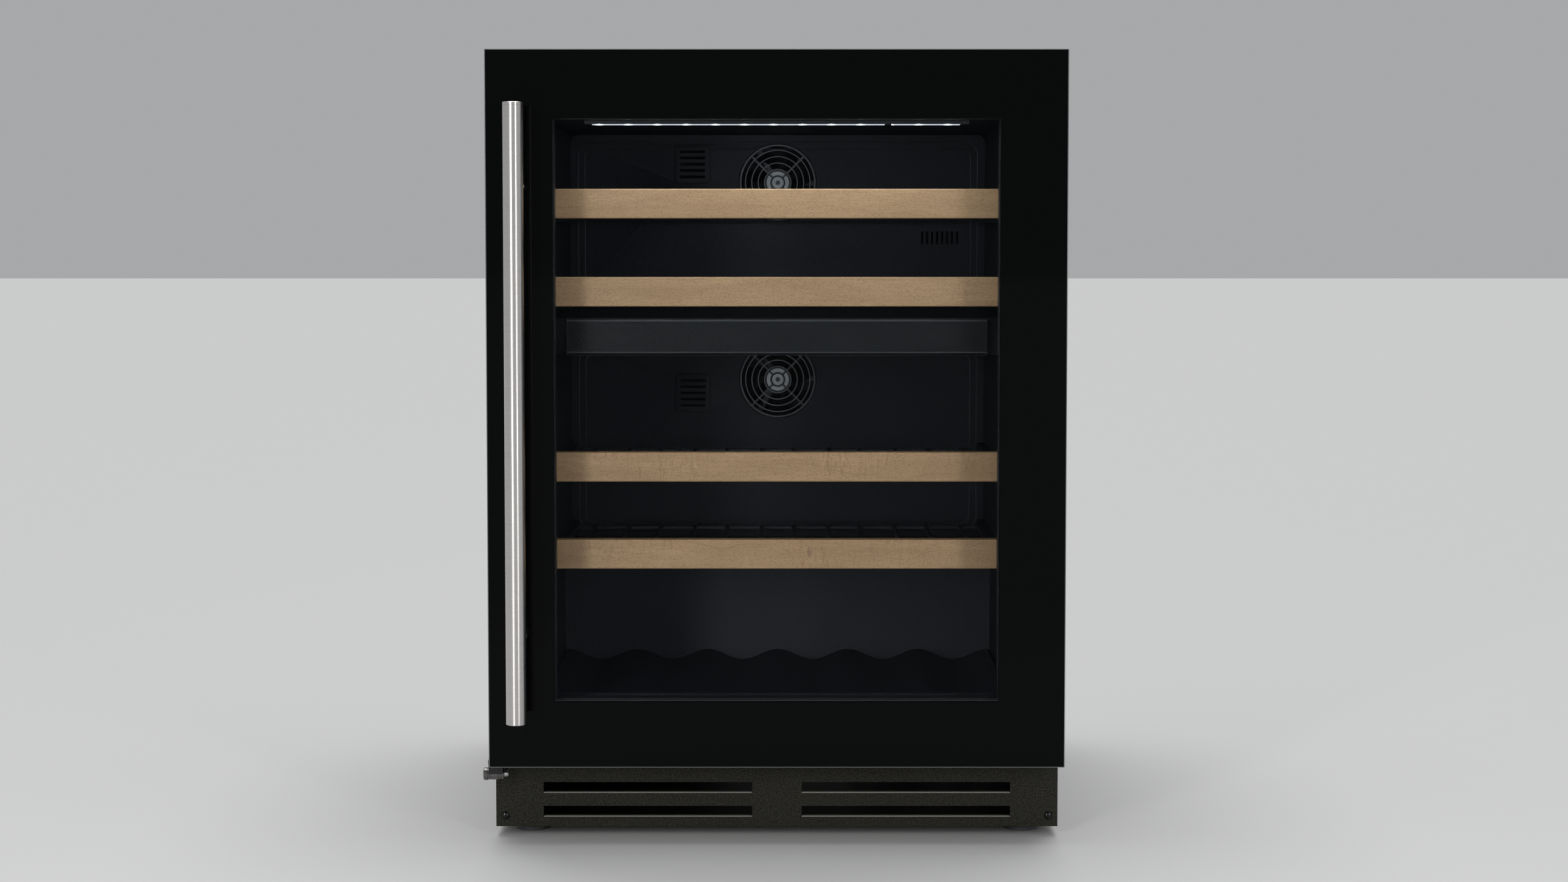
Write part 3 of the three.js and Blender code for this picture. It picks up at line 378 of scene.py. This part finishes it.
class Builder:
    """Gathers solids in the object's frame and makes one piece of them."""

    def __init__(self):
        self.bm = bmesh.new()
        self.material = 0

    def face(self, verts):
        f = self.bm.faces.new(verts)
        f.material_index = self.material
        return f

    def box(self, lo, hi):
        corners = [Vector((x, y, z)) for z in (lo[2], hi[2]) for y in (lo[1], hi[1]) for x in (lo[0], hi[0])]
        v = [self.bm.verts.new(c) for c in corners]
        for loop in ((0, 2, 3, 1), (4, 5, 7, 6), (0, 1, 5, 4), (2, 6, 7, 3), (0, 4, 6, 2), (1, 3, 7, 5)):
            self.face([v[n] for n in loop])
        return self

    def lathe(self, axis, centre, profile, segments=48):
        """Turns (radius, position along the axis) points round an axis. Ends at radius 0 close it."""
        along = Vector([axis == "x", axis == "y", axis == "z"])
        side = Vector((0, 1, 0)) if axis == "x" else Vector((1, 0, 0))
        other = along.cross(side)
        rings = []
        for radius, position in profile:
            middle = Vector(centre) + along * position
            if radius < 1e-9:
                rings.append([self.bm.verts.new(middle)])
                continue
            ring = []
            for n in range(segments):
                a = 2 * math.pi * n / segments
                ring.append(self.bm.verts.new(middle + (side * math.cos(a) + other * math.sin(a)) * radius))
            rings.append(ring)
        pairs = list(zip(rings, rings[1:]))
        if len(rings[0]) > 1 and len(rings[-1]) > 1:
            pairs.append((rings[-1], rings[0]))
        for low, high in pairs:
            for n in range(segments):
                m = (n + 1) % segments
                if len(low) == 1:
                    self.face([low[0], high[m], high[n]])
                elif len(high) == 1:
                    self.face([low[n], low[m], high[0]])
                else:
                    self.face([low[n], low[m], high[m], high[n]])
        return self

    def rod(self, axis, centre, radius, start, end, segments=32, edge=0.0):
        """A round bar along an axis, its two rims chamfered by edge."""
        profile = [(0, start), (radius, start), (radius, end), (0, end)]
        if edge:
            profile = [(0, start), (radius - edge, start), (radius, start + edge), (radius, end - edge),
                       (radius - edge, end), (0, end)]
        return self.lathe(axis, centre, profile, segments)

    def torus(self, axis, centre, major, minor, segments=72):
        sides = 10
        profile = []
        for n in range(sides):
            a = 2 * math.pi * n / sides
            profile.append((major + minor * math.cos(a), minor * math.sin(a)))
        return self.lathe(axis, centre, profile, segments)

    def loft(self, sections, closed=False):
        """Joins rows of points, each a closed outline with the same count, into a ring or a capped bar."""
        rows = [[self.bm.verts.new(p) for p in points] for points in sections]
        pairs = list(zip(rows, rows[1:]))
        if closed:
            pairs.append((rows[-1], rows[0]))
        count = len(rows[0])
        for low, high in pairs:
            for n in range(count):
                m = (n + 1) % count
                self.face([low[n], low[m], high[m], high[n]])
        if not closed:
            self.face(rows[0][::-1])
            self.face(rows[-1])
        return self

    def copy_of(self, node):
        """The CAD node's own surface, with its split corners welded and its flat faces whole."""
        part = bmesh.new()
        part.from_mesh(NODES[node].data)
        bmesh.ops.remove_doubles(part, verts=part.verts, dist=1e-6)
        bmesh.ops.dissolve_limit(part, angle_limit=math.radians(0.4), verts=part.verts, edges=part.edges)
        mesh = bpy.data.meshes.new("part")
        part.to_mesh(mesh)
        part.free()
        before = len(self.bm.faces)
        self.bm.from_mesh(mesh)
        bpy.data.meshes.remove(mesh)
        self.bm.faces.ensure_lookup_table()
        for f in self.bm.faces[before:]:
            f.material_index = self.material
        return self

    def turn(self, axis, centre, angle, first):
        """Turns the vertices from number first on about an axis through a point."""
        self.bm.verts.ensure_lookup_table()
        matrix = Matrix.Rotation(angle, 4, axis.upper())
        bmesh.ops.rotate(self.bm, cent=Vector(centre), matrix=matrix, verts=self.bm.verts[first:])
        return self

    def finish(self, name, node, materials=None, bevel=0.0, segments=2, smooth=35, bevel_material=-1):
        """Makes the piece that stands for the CAD node, on the node's body and in its material slot."""
        bmesh.ops.recalc_face_normals(self.bm, faces=self.bm.faces)
        mesh = bpy.data.meshes.new(name)
        self.bm.to_mesh(mesh)
        self.bm.free()
        for material in materials or [MATERIALS[SLOT_OF[node]]]:
            mesh.materials.append(material)
        mesh.shade_smooth()
        mesh.set_sharp_from_angle(angle=math.radians(smooth))
        obj = bpy.data.objects.new(name, mesh)
        scene.collection.objects.link(obj)
        if bevel:
            mod = obj.modifiers.new("edges", "BEVEL")
            mod.width = bevel
            mod.segments = segments
            mod.limit_method = "ANGLE"
            mod.angle_limit = math.radians(smooth)
            mod.use_clamp_overlap = True
            mod.harden_normals = True
            mod.material = bevel_material
        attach(obj, BODY_OF[node])
        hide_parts(node)
        return obj


def centre_of(node):
    lo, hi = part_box(node)
    return (lo + hi) / 2


# ---- Door --------------------------------------------------------------------------------------------

pane_lo, pane_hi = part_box("door_glass_inner")
PANE_LAP = 12 * MM
window_lo = Vector((pane_lo.x + PANE_LAP, 0, pane_lo.z + PANE_LAP))
window_hi = Vector((pane_hi.x - PANE_LAP, 0, pane_hi.z - PANE_LAP))


def make_door_glass():
    """One sheet: a black border, the clear window in its middle (slot 1) and a ground rim with a painted
    highlight (slot 2).
    """
    lo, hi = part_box("door_glass_outer")
    b = Builder()
    xs = (lo.x, window_lo.x, window_hi.x, hi.x)
    zs = (lo.z, window_lo.z, window_hi.z, hi.z)
    sheets = []
    for y in (lo.y, hi.y):
        grid = [[b.bm.verts.new((x, y, z)) for x in xs] for z in zs]
        for row in range(3):
            for column in range(3):
                b.material = int(row == 1 and column == 1)
                b.face([grid[row][column], grid[row][column + 1], grid[row + 1][column + 1],
                        grid[row + 1][column]])
        sheets.append(grid)
    b.material = 0
    front, rear = sheets
    rim = [(0, n) for n in range(3)] + [(n, 3) for n in range(3)]
    rim += [(3, 3 - n) for n in range(3)] + [(3 - n, 0) for n in range(3)]
    for (r0, c0), (r1, c1) in zip(rim, rim[1:] + rim[:1]):
        b.face([front[r0][c0], front[r1][c1], rear[r1][c1], rear[r0][c0]])
    b.finish("door_glass", "door_glass_outer", [MATERIALS["outer_glass"], WINDOW, EDGE], 0.9 * MM, 3,
             bevel_material=2)


def make_inner_pane():
    Builder().box(pane_lo, pane_hi).finish("inner_pane", "door_glass_inner", bevel=0.5 * MM)


def make_gasket():
    """A bellows seal: a foot in the frame, two folds and the flat magnet strip, mitred at the corners."""
    lo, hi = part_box("gasket")
    depth = hi.y - lo.y
    width = 14 * MM
    b = Builder()
    sections = []
    profile = [(0.12, 0.0), (0.88, 0.0), (0.88, 0.14), (0.7, 0.2), (0.78, 0.36), (0.66, 0.5), (0.94, 0.6),
               (1.0, 0.68), (1.0, 0.93), (0.94, 1.0), (0.06, 1.0), (0.0, 0.93), (0.0, 0.68), (0.06, 0.6),
               (0.34, 0.5), (0.22, 0.36), (0.3, 0.2), (0.12, 0.14)]
    for sx, sz in ((-1, -1), (1, -1), (1, 1), (-1, 1)):
        row = []
        for across, deep in profile:
            inset = width * across
            x = (lo.x + inset) if sx < 0 else (hi.x - inset)
            z = (lo.z + inset) if sz < 0 else (hi.z - inset)
            row.append(Vector((x, lo.y + depth * deep, z)))
        sections.append(row)
    b.loft(sections, closed=True)
    b.finish("door_seal", "gasket", bevel=0.2 * MM, smooth=50)


def make_handle():
    """The tube with an end cap's seam at each end, and the two stand-offs with a turned groove."""
    lo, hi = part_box("handle_bar")
    c = centre_of("handle_bar")
    r = (hi.x - lo.x) / 2
    half = (hi.z - lo.z) / 2
    edge = 0.5 * MM
    seam = 3 * MM
    groove = 0.15 * MM
    end = [(0, half - 0.3 * MM), (r - 1.6 * MM, half - 0.3 * MM), (r - 1.4 * MM, half), (r - edge, half),
           (r, half - edge), (r, half - seam), (r - groove, half - seam - groove),
           (r, half - seam - 2 * groove)]
    profile = [(radius, -z) for radius, z in end] + [(radius, z) for radius, z in reversed(end)]
    Builder().lathe("z", c, profile, 96).finish("handle_tube", "handle_bar", smooth=25)
    for end_name in ("top", "bottom"):
        node = f"handle_post_{end_name}"
        p_lo, p_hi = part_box(node)
        p = centre_of(node)
        radius = (p_hi.x - p_lo.x) / 2
        spot = (p.x, 0, p.z)
        start = c.y + 6 * MM
        stop = glass_front - 0.15 * MM
        profile = [(0, start), (radius, start), (radius, stop - 2.2 * MM), (radius - 0.5 * MM, stop - 2 * MM),
                   (radius - 0.5 * MM, stop - 1.6 * MM), (radius, stop - 1.4 * MM), (radius, stop),
                   (0, stop)]
        b = Builder().lathe("y", spot, profile, 48)
        b.rod("y", spot, 4 * MM, stop, p_hi.y, 24)
        b.finish(f"handle_foot_{end_name}", node, smooth=30)


# ---- Fans --------------------------------------------------------------------------------------------

ROOT_PITCH = 48
TWIST = 20
BLADE_SWEEP = 0.35
BLADE_THICKNESS = 1.6 * MM
BLADE_PROFILE = ((-0.5, 0), (-0.25, 0.5), (0, 0.65), (0.25, 0.5), (0.5, 0), (0.25, -0.2), (0, -0.3),
                 (-0.25, -0.2))


def blade(b, centre, front, rear, inner, outer, angle):
    """A curved, pitched fan blade from the hub to the tip."""
    sections = []
    steps = 7
    middle = (front + rear) / 2
    depth = rear - front
    for n in range(steps + 1):
        share = n / steps
        radius = inner + (outer - inner) * share
        pitch = math.radians(ROOT_PITCH - TWIST * share)
        lead = BLADE_SWEEP * share * share
        chord = depth * 1.05 / math.sin(pitch) * (0.8 + 0.2 * share) * 0.72
        row = []
        for along, thick in BLADE_PROFILE:
            around = chord * along * math.cos(pitch) + thick * BLADE_THICKNESS * math.sin(pitch)
            deep = chord * along * math.sin(pitch) * 0.9 - thick * BLADE_THICKNESS * math.cos(pitch)
            turn = angle + lead + around / radius
            row.append(Vector((centre[0] + radius * math.cos(turn),
                               min(rear, max(front, middle + deep)),
                               centre[1] + radius * math.sin(turn))))
        sections.append(row)
    b.loft(sections)


def make_fan(zone):
    """A ringed grille with four spokes, a motor behind it and a pale disc on the hub."""
    lo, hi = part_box(f"fan_frame_{zone}")
    c = centre_of(f"fan_frame_{zone}")
    r = (hi.x - lo.x) / 2
    front = lo.y
    axis = (c.x, 0, c.z)
    hub = 14.5 * MM
    ring_shares = (0.96, 0.84, 0.675, 0.51, 0.345)
    b = Builder()
    b.lathe("y", axis, [(r, front + 0.6 * MM), (r - 0.5 * MM, front), (r - 1.6 * MM, front),
                        (r - 2 * MM, front + 0.6 * MM), (r - 2 * MM, hi.y), (r, hi.y)], 72)
    b.material = 2
    for share in ring_shares:
        b.torus("y", (c.x, front + 0.75 * MM, c.z), r * share, 0.6 * MM)
    b.material = 0
    for angle in (45, 135, 225, 315):
        first = len(b.bm.verts)
        b.box((c.x + 7 * MM, front + 1 * MM, c.z - 1.1 * MM),
              (c.x + r - 1 * MM, front + 2.5 * MM, c.z + 1.1 * MM))
        b.turn("y", c, math.radians(angle), first)
    b.torus("y", (c.x, front + 1.5 * MM, c.z), hub, 0.9 * MM)
    b.torus("y", (c.x, front + 1.5 * MM, c.z), hub * 0.55, 1.0 * MM, 48)
    b.rod("y", axis, 2.6 * MM, front + 0.9 * MM, front + 2.6 * MM, 24, 0.3 * MM)

    # The motor with its three arms and its shaft
    b.rod("y", axis, 13.5 * MM, hi.y - 7 * MM, hi.y, 40, 1 * MM)
    for n in range(3):
        first = len(b.bm.verts)
        b.box((c.x, hi.y - 5.5 * MM, c.z - 3 * MM), (c.x + r - 1 * MM, hi.y - 2.5 * MM, c.z + 3 * MM))
        b.turn("y", c, n * 2 * math.pi / 3, first)
    b.rod("y", axis, 2 * MM, front + 10 * MM, hi.y - 5 * MM, 20)

    # The pale disc behind the spokes
    b.material = 1
    b.rod("y", axis, hub * 0.93, front + 2.7 * MM, front + 3.6 * MM, 48, 0.2 * MM)
    b.finish(f"fan_grille_{zone}", f"fan_frame_{zone}", [MATERIALS["fan_plastic"], PALE, WIRE],
             smooth=30)
    make_impeller(f"circulation_fan_{zone}", f"fan_rotor_{zone}", 7)


def make_impeller(node, name, count):
    """A cup-shaped hub with a number of blades."""
    lo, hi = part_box(node)
    c = centre_of(node)
    axis = (c.x, 0, c.z)
    radius = min(hi.x - c.x, hi.z - c.z, c.z - lo.z)
    hub = radius * 0.36
    b = Builder()
    bore = 2.1 * MM
    b.lathe("y", axis, [(bore, lo.y + 6 * MM), (hub * 0.6, lo.y + 2.2 * MM), (hub - 2 * MM, lo.y + 1 * MM),
                        (hub, lo.y + 3 * MM), (hub, hi.y), (hub - 1.5 * MM, hi.y),
                        (hub - 1.5 * MM, lo.y + 7 * MM), (bore, lo.y + 8 * MM)], 40)
    for n in range(count):
        blade(b, (c.x, c.z), lo.y + 0.5 * MM, hi.y - 0.5 * MM, hub - 1 * MM, radius - 0.4 * MM,
              2 * math.pi * n / count)
    b.finish(name, node, [ROTOR], smooth=40)


# ---- Inside ------------------------------------------------------------------------------------------

def bead(b, x0, x1, z0, z1, y, radius, size):
    """A raised line with round corners on a wall across Y, facing the door."""
    rooted = 1 * MM
    outline = ((-size, 0), (-size * 0.5, -size * 0.8), (size * 0.5, -size * 0.8), (size, 0), (size, rooted),
               (-size, rooted))
    sections = []
    for cx, cz, start in ((x1 - radius, z1 - radius, 0), (x0 + radius, z1 - radius, 90),
                          (x0 + radius, z0 + radius, 180), (x1 - radius, z0 + radius, 270)):
        for step in range(7):
            a = math.radians(start + step * 15)
            row = []
            for out, up in outline:
                reach = radius + out
                row.append(Vector((cx + reach * math.cos(a), y + up, cz + reach * math.sin(a))))
            sections.append(row)
    b.loft(sections, closed=True)


def make_rear_cover(zone):
    """The moulded rear wall with two raised lines round its face, paler than the wall as a painted highlight.
    """
    node = f"rear_cover_{zone}"
    lo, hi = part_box(node)
    thickness = 2.5 * MM
    b = Builder().copy_of(node)
    # Slot 1: the raised lines, pale as a painted highlight.
    b.material = 1
    for gap, radius in ((9 * MM, 15 * MM), (17 * MM, 9 * MM)):
        bead(b, lo.x + gap, hi.x - gap, lo.z + gap, hi.z - gap, hi.y - thickness, radius, 1 * MM)
    b.finish(f"rear_panel_{zone}", node, [MATERIALS["liner_plastic"], BEAD_HIGHLIGHT], 0.4 * MM, smooth=62)


def make_shelf(number):
    """A beech front, and a coated rack: two side rails, three cross bars and a pair of wires a bottle."""
    lo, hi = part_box(f"shelf_{number}_fascia")
    Builder().box(lo, hi).finish(f"shelf_{number}_front", f"shelf_{number}_fascia", [beech(number)],
                                 1.5 * MM, 4)
    lo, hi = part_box(f"shelf_{number}_rack")
    height = hi.z - lo.z
    rail = 9 * MM
    bar = 8 * MM
    b = Builder()
    for x0, x1 in ((lo.x, lo.x + rail), (hi.x - rail, hi.x)):
        b.box((x0, lo.y, lo.z), (x1, hi.y, hi.z))
    for share in (0, 0.5, 1):
        y = lo.y + share * (hi.y - lo.y - bar)
        b.box((lo.x + 1 * MM, y, lo.z), (hi.x - 1 * MM, y + bar, lo.z + height * 0.6))
    places = 6
    pitch = (hi.x - lo.x - 2 * rail) / places
    r = 2.4 * MM
    for n in range(places):
        for side in (-0.26, 0.26):
            x = lo.x + rail + (n + 0.5 + side) * pitch
            b.rod("y", (x, 0, hi.z - 0.4 * MM - r), r, lo.y + 1 * MM, hi.y - 1 * MM, 16, 0.6 * MM)
    b.finish(f"shelf_{number}_wires", f"shelf_{number}_rack", bevel=0.6 * MM, smooth=50)


def make_tray():
    """A floor with six waves for bottles and a low wall along its front."""
    lo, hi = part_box("bottle_tray")
    places = 6
    steps_per_wave = 20
    steps = places * steps_per_wave
    middle = lo.z + 10.7 * MM
    swing = 6 * MM
    top = []
    for n in range(steps + 1):
        share = n / steps
        x = lo.x + share * (hi.x - lo.x)
        top.append((x, middle + swing * math.cos(share * places * 2 * math.pi)))
    outline = [(lo.x, lo.z)] + top + [(hi.x, lo.z)]
    lip = 4 * MM
    b = Builder()
    b.loft([[Vector((x, y, z)) for x, z in outline] for y in (lo.y + lip, hi.y)])
    b.box((lo.x, lo.y, lo.z), (hi.x, lo.y + lip, middle + swing))
    b.finish("floor_tray", "bottle_tray", bevel=0.7 * MM, smooth=40)


def make_plinth():
    """The vented plinth, with a lip along the bottom of each of its four slots, its pale colour a painted
    highlight.
    """
    node = "kickplate"
    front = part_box(node)[0].y
    slot_levels = (25.9, 51.2)
    half_height = 5.75
    slot_start, slot_end = 26 * MM, 245 * MM
    b = Builder().copy_of(node)
    # The lips' pale colour is a painted highlight for the light they catch from above.
    b.material = 1
    for level in slot_levels:
        for side in (-1, 1):
            x0, x1 = sorted((side * slot_start, side * slot_end))
            z = (level - half_height) * MM
            b.box((x0, front + 0.3 * MM, z - 0.5 * MM), (x1, front + 6 * MM, z + 0.7 * MM))
    b.finish("kick_panel", node, [MATERIALS["plinth_paint"], LIP_HIGHLIGHT], 0.35 * MM, smooth=30)


def make_screw(side):
    """A pan-head screw with a cross recess."""
    node = f"kickplate_screw_{side}"
    lo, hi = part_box(node)
    c = centre_of(node)
    r = (hi.x - lo.x) / 2
    head = 2.6 * MM
    flat = lo.y + head
    profile = [(0, lo.y)]
    for n in range(1, 8):
        a = math.radians(n * 12)
        profile.append((r * math.sin(a) / math.sin(math.radians(84)), lo.y + head * 0.82 * (1 - math.cos(a))))
    profile += [(r, flat), (2 * MM, flat), (2 * MM, hi.y), (0, hi.y)]
    b = Builder().lathe("y", (c.x, 0, c.z), profile, 40)
    part = b.finish(f"plinth_screw_{side}", node, [DARK_SCREW], smooth=40)
    tool = Builder()
    arm, half = 2.5 * MM, 0.55 * MM
    tool.box((c.x - arm, lo.y - 1 * MM, c.z - half), (c.x + arm, lo.y + 1.3 * MM, c.z + half))
    tool.box((c.x - half, lo.y - 1 * MM, c.z - arm), (c.x + half, lo.y + 1.3 * MM, c.z + arm))
    cut_with(part, tool)


def cut_with(part, tool):
    """Cuts the tool's solids out of the piece, for good."""
    mesh = bpy.data.meshes.new("tool")
    bmesh.ops.recalc_face_normals(tool.bm, faces=tool.bm.faces)
    tool.bm.to_mesh(mesh)
    tool.bm.free()
    cutter = bpy.data.objects.new("tool", mesh)
    scene.collection.objects.link(cutter)
    mod = part.modifiers.new("cut", "BOOLEAN")
    mod.operation = "DIFFERENCE"
    mod.solver = "EXACT"
    mod.use_self = True
    mod.object = cutter
    bpy.context.view_layer.update()
    made = bpy.data.meshes.new_from_object(part.evaluated_get(bpy.context.evaluated_depsgraph_get()))
    part.modifiers.remove(mod)
    part.data = made
    bpy.data.objects.remove(cutter)


def make_lock():
    """The lock's barrel with three turned rings, its holder and the tongue."""
    lo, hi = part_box("lock_barrel")
    c = centre_of("lock_barrel")
    r = (hi.z - lo.z) / 2
    body = r - 0.6 * MM
    keyway = 2.6 * MM
    profile = [(keyway, 0.3 * MM), (r - 0.8 * MM, 0), (r, 0.8 * MM), (r, 3.7 * MM),
               (r - 0.5 * MM, 4.2 * MM)]
    end = hi.x - lo.x
    for position in (6 * MM, end - 6 * MM, end - 3.5 * MM):
        profile += [(body, position), (body - 0.5 * MM, position + 0.3 * MM),
                    (body - 0.5 * MM, position + 0.9 * MM), (body, position + 1.2 * MM)]
    profile += [(body, end), (keyway, end)]
    barrel = Builder().lathe("x", (lo.x, c.y, c.z), profile, 48)
    barrel.finish("lock_cylinder", "lock_barrel", [DARK_CHROME], smooth=25)
    Builder().copy_of("lock_bracket").finish("lock_holder", "lock_bracket", bevel=0.6 * MM, smooth=30)
    Builder().copy_of("lock_cam").finish("lock_tongue_plate", "lock_cam", bevel=0.25 * MM, smooth=40)


def make_foot(corner):
    """A screw foot: a rubber-grey pad, a hexagon nut and a threaded stem."""
    node = f"foot_{corner}"
    lo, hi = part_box(node)
    c = centre_of(node)
    r = (hi.x - lo.x) / 2
    axis = (c.x, c.y, 0)
    b = Builder()
    z = lo.z
    b.lathe("z", axis, [(0, z + 0.6 * MM), (r - 4 * MM, z + 0.6 * MM), (r - 3 * MM, z), (r - 0.6 * MM, z),
                        (r, z + 0.8 * MM), (r - 0.5 * MM, z + 3 * MM), (r - 2 * MM, z + 6.6 * MM),
                        (r - 3.4 * MM, z + 8 * MM), (0, z + 8 * MM)], 64)
    b.rod("z", axis, 6.2 * MM, z + 7.5 * MM, z + 11 * MM, 6, 0.4 * MM)
    b.material = 1
    stem = [(0, z + 10 * MM), (4.4 * MM, z + 10 * MM)]
    level = z + 11 * MM
    root, crest, pitch = 4.35 * MM, 4.95 * MM, 1.25 * MM
    while level < hi.z - 2 * MM:
        stem += [(root, level), (crest, level + 0.5 * MM), (crest, level + 0.7 * MM),
                 (root, level + 1.2 * MM)]
        level += pitch
    stem += [(root, hi.z - 0.6 * MM), (3.6 * MM, hi.z), (0, hi.z)]
    b.lathe("z", axis, stem, 24)
    b.finish(f"leg_{corner}", node, [MATERIALS["grey_plastic"], MATERIALS["zinc_sheet"]], smooth=30)


# ---- All the pieces ----------------------------------------------------------------------------------

make_door_glass()
make_inner_pane()
make_gasket()
make_handle()
for zone in ("upper", "lower"):
    make_fan(zone)
    make_rear_cover(zone)
make_impeller("condenser_fan", "rear_fan_rotor", 5)
for number in (1, 2, 3, 4):
    make_shelf(number)
make_tray()
make_plinth()
for side in ("left", "right"):
    make_screw(side)
make_lock()
for corner in ("front_left", "front_right", "rear_left", "rear_right"):
    make_foot(corner)
Builder().copy_of("compressor").finish("compressor_can", "compressor", bevel=1.2 * MM, smooth=50)

# The CAD nodes whose shape is right get rounded edges only. The widths are in millimetres.
EDGES = {
    "door_frame": 0.8, "glass_spacer": 0.3, "left_side_panel": 0.4, "right_side_panel": 0.4,
    "top_panel": 0.4, "rear_panel": 0.3, "inner_liner": 0.8, "base_plate": 0.4, "machine_cover": 0.3,
    "zone_divider": 0.8, "divider_front": 1.0, "led_bar": 0.3, "led_lens_left": 0.3, "led_lens_right": 0.3,
    "guide_column_left": 0.6, "guide_column_right": 0.6, "hinge_bracket_top": 0.5,
    "hinge_bracket_bottom": 0.5, "hinge_pin_top": 0.3, "hinge_pin_bottom": 0.3, "control_box": 1.2,
    "drip_tray": 0.6, "power_inlet": 0.3, "condenser": 0.2, "condenser_fan_frame": 0.6, "evaporator": 0.3,
    "foam_body": 0.6,
}
# Painted shade: the base plate in black cabinet paint instead of its zinc, for the dark seen through the
# plinth slots, and the evaporator near-black for the dark behind the fans.
PAINTED_SHADE_LOOKS = {"evaporator": SHADED_FINS, "base_plate": MATERIALS["cabinet_paint"]}
for node, width in EDGES.items():
    looks = [PAINTED_SHADE_LOOKS.get(node, MATERIALS[SLOT_OF[node]])]
    if node == "divider_front":
        looks.append(TRIM_EDGE)
    Builder().copy_of(node).finish(f"{node}_shell", node, looks, width * MM, smooth=32,
                                   bevel_material=len(looks) - 1)


# ---- Floor and light ---------------------------------------------------------------------------------

floor_mesh = bpy.data.meshes.new("floor")
REACH = 30
floor_mesh.from_pydata([(-REACH, -REACH, 0), (REACH, -REACH, 0), (REACH, REACH, 0), (-REACH, REACH, 0)], [],
                       [(0, 1, 2, 3)])
floor = bpy.data.objects.new("floor", floor_mesh)
scene.collection.objects.link(floor)
floor_mesh.materials.append(Shader("floor", (0.62, 0.62, 0.62), 0.6, Specular_IOR_Level=0.2).mat)


def area_light(name, place, target, size, power, color, spread=180):
    data = bpy.data.lights.new(name, "AREA")
    data.shape = "RECTANGLE"
    data.size, data.size_y = size
    data.energy = power
    data.color = color
    data.spread = math.radians(spread)
    light = bpy.data.objects.new(name, data)
    light.location = place
    light.rotation_euler = (Vector(target) - Vector(place)).to_track_quat("-Z", "Y").to_euler()
    scene.collection.objects.link(light)


# Two tall soft strips in front of the door, which the handle and the shelf fronts show.
STRIP_SPREAD = 80
area_light("strip_left", (-0.98, -2.3, 0.88), (-0.1, -0.2, 0.45), (0.3, 1.3), 3.3, WARM_WHITE,
           STRIP_SPREAD)
area_light("strip_right", (1.15, -2.25, 0.88), (0.1, -0.2, 0.45), (0.24, 1.3), 2.1, WARM_WHITE,
           STRIP_SPREAD)

# A wide soft light from above, leaning from the front.
sun_data = bpy.data.lights.new("overhead", "SUN")
sun_data.energy = 1.9
sun_data.angle = math.radians(50)
sun = bpy.data.objects.new("overhead", sun_data)
sun.rotation_euler = (math.radians(-14), 0, 0)
scene.collection.objects.link(sun)

# The cabinet's own light, just under the two lenses.
led_lo, led_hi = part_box("led_lens_left")
led_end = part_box("led_lens_right")[1]
area_light("cabinet_light", ((led_lo.x + led_end.x) / 2, (led_lo.y + led_hi.y) / 2, led_lo.z - 0.5 * MM),
           (0, led_hi.y + 0.12, 0.4), (led_end.x - led_lo.x, 5 * MM), 0.3, COLD_WHITE)

world = bpy.data.worlds.new("studio")
scene.world = world
world.use_nodes = True
background = world.node_tree.nodes["Background"]
background.inputs["Color"].default_value = (0.97, 0.98, 1, 1)
background.inputs["Strength"].default_value = 0.4
scene.view_settings.view_transform = "Standard"
scene.view_settings.look = "None"
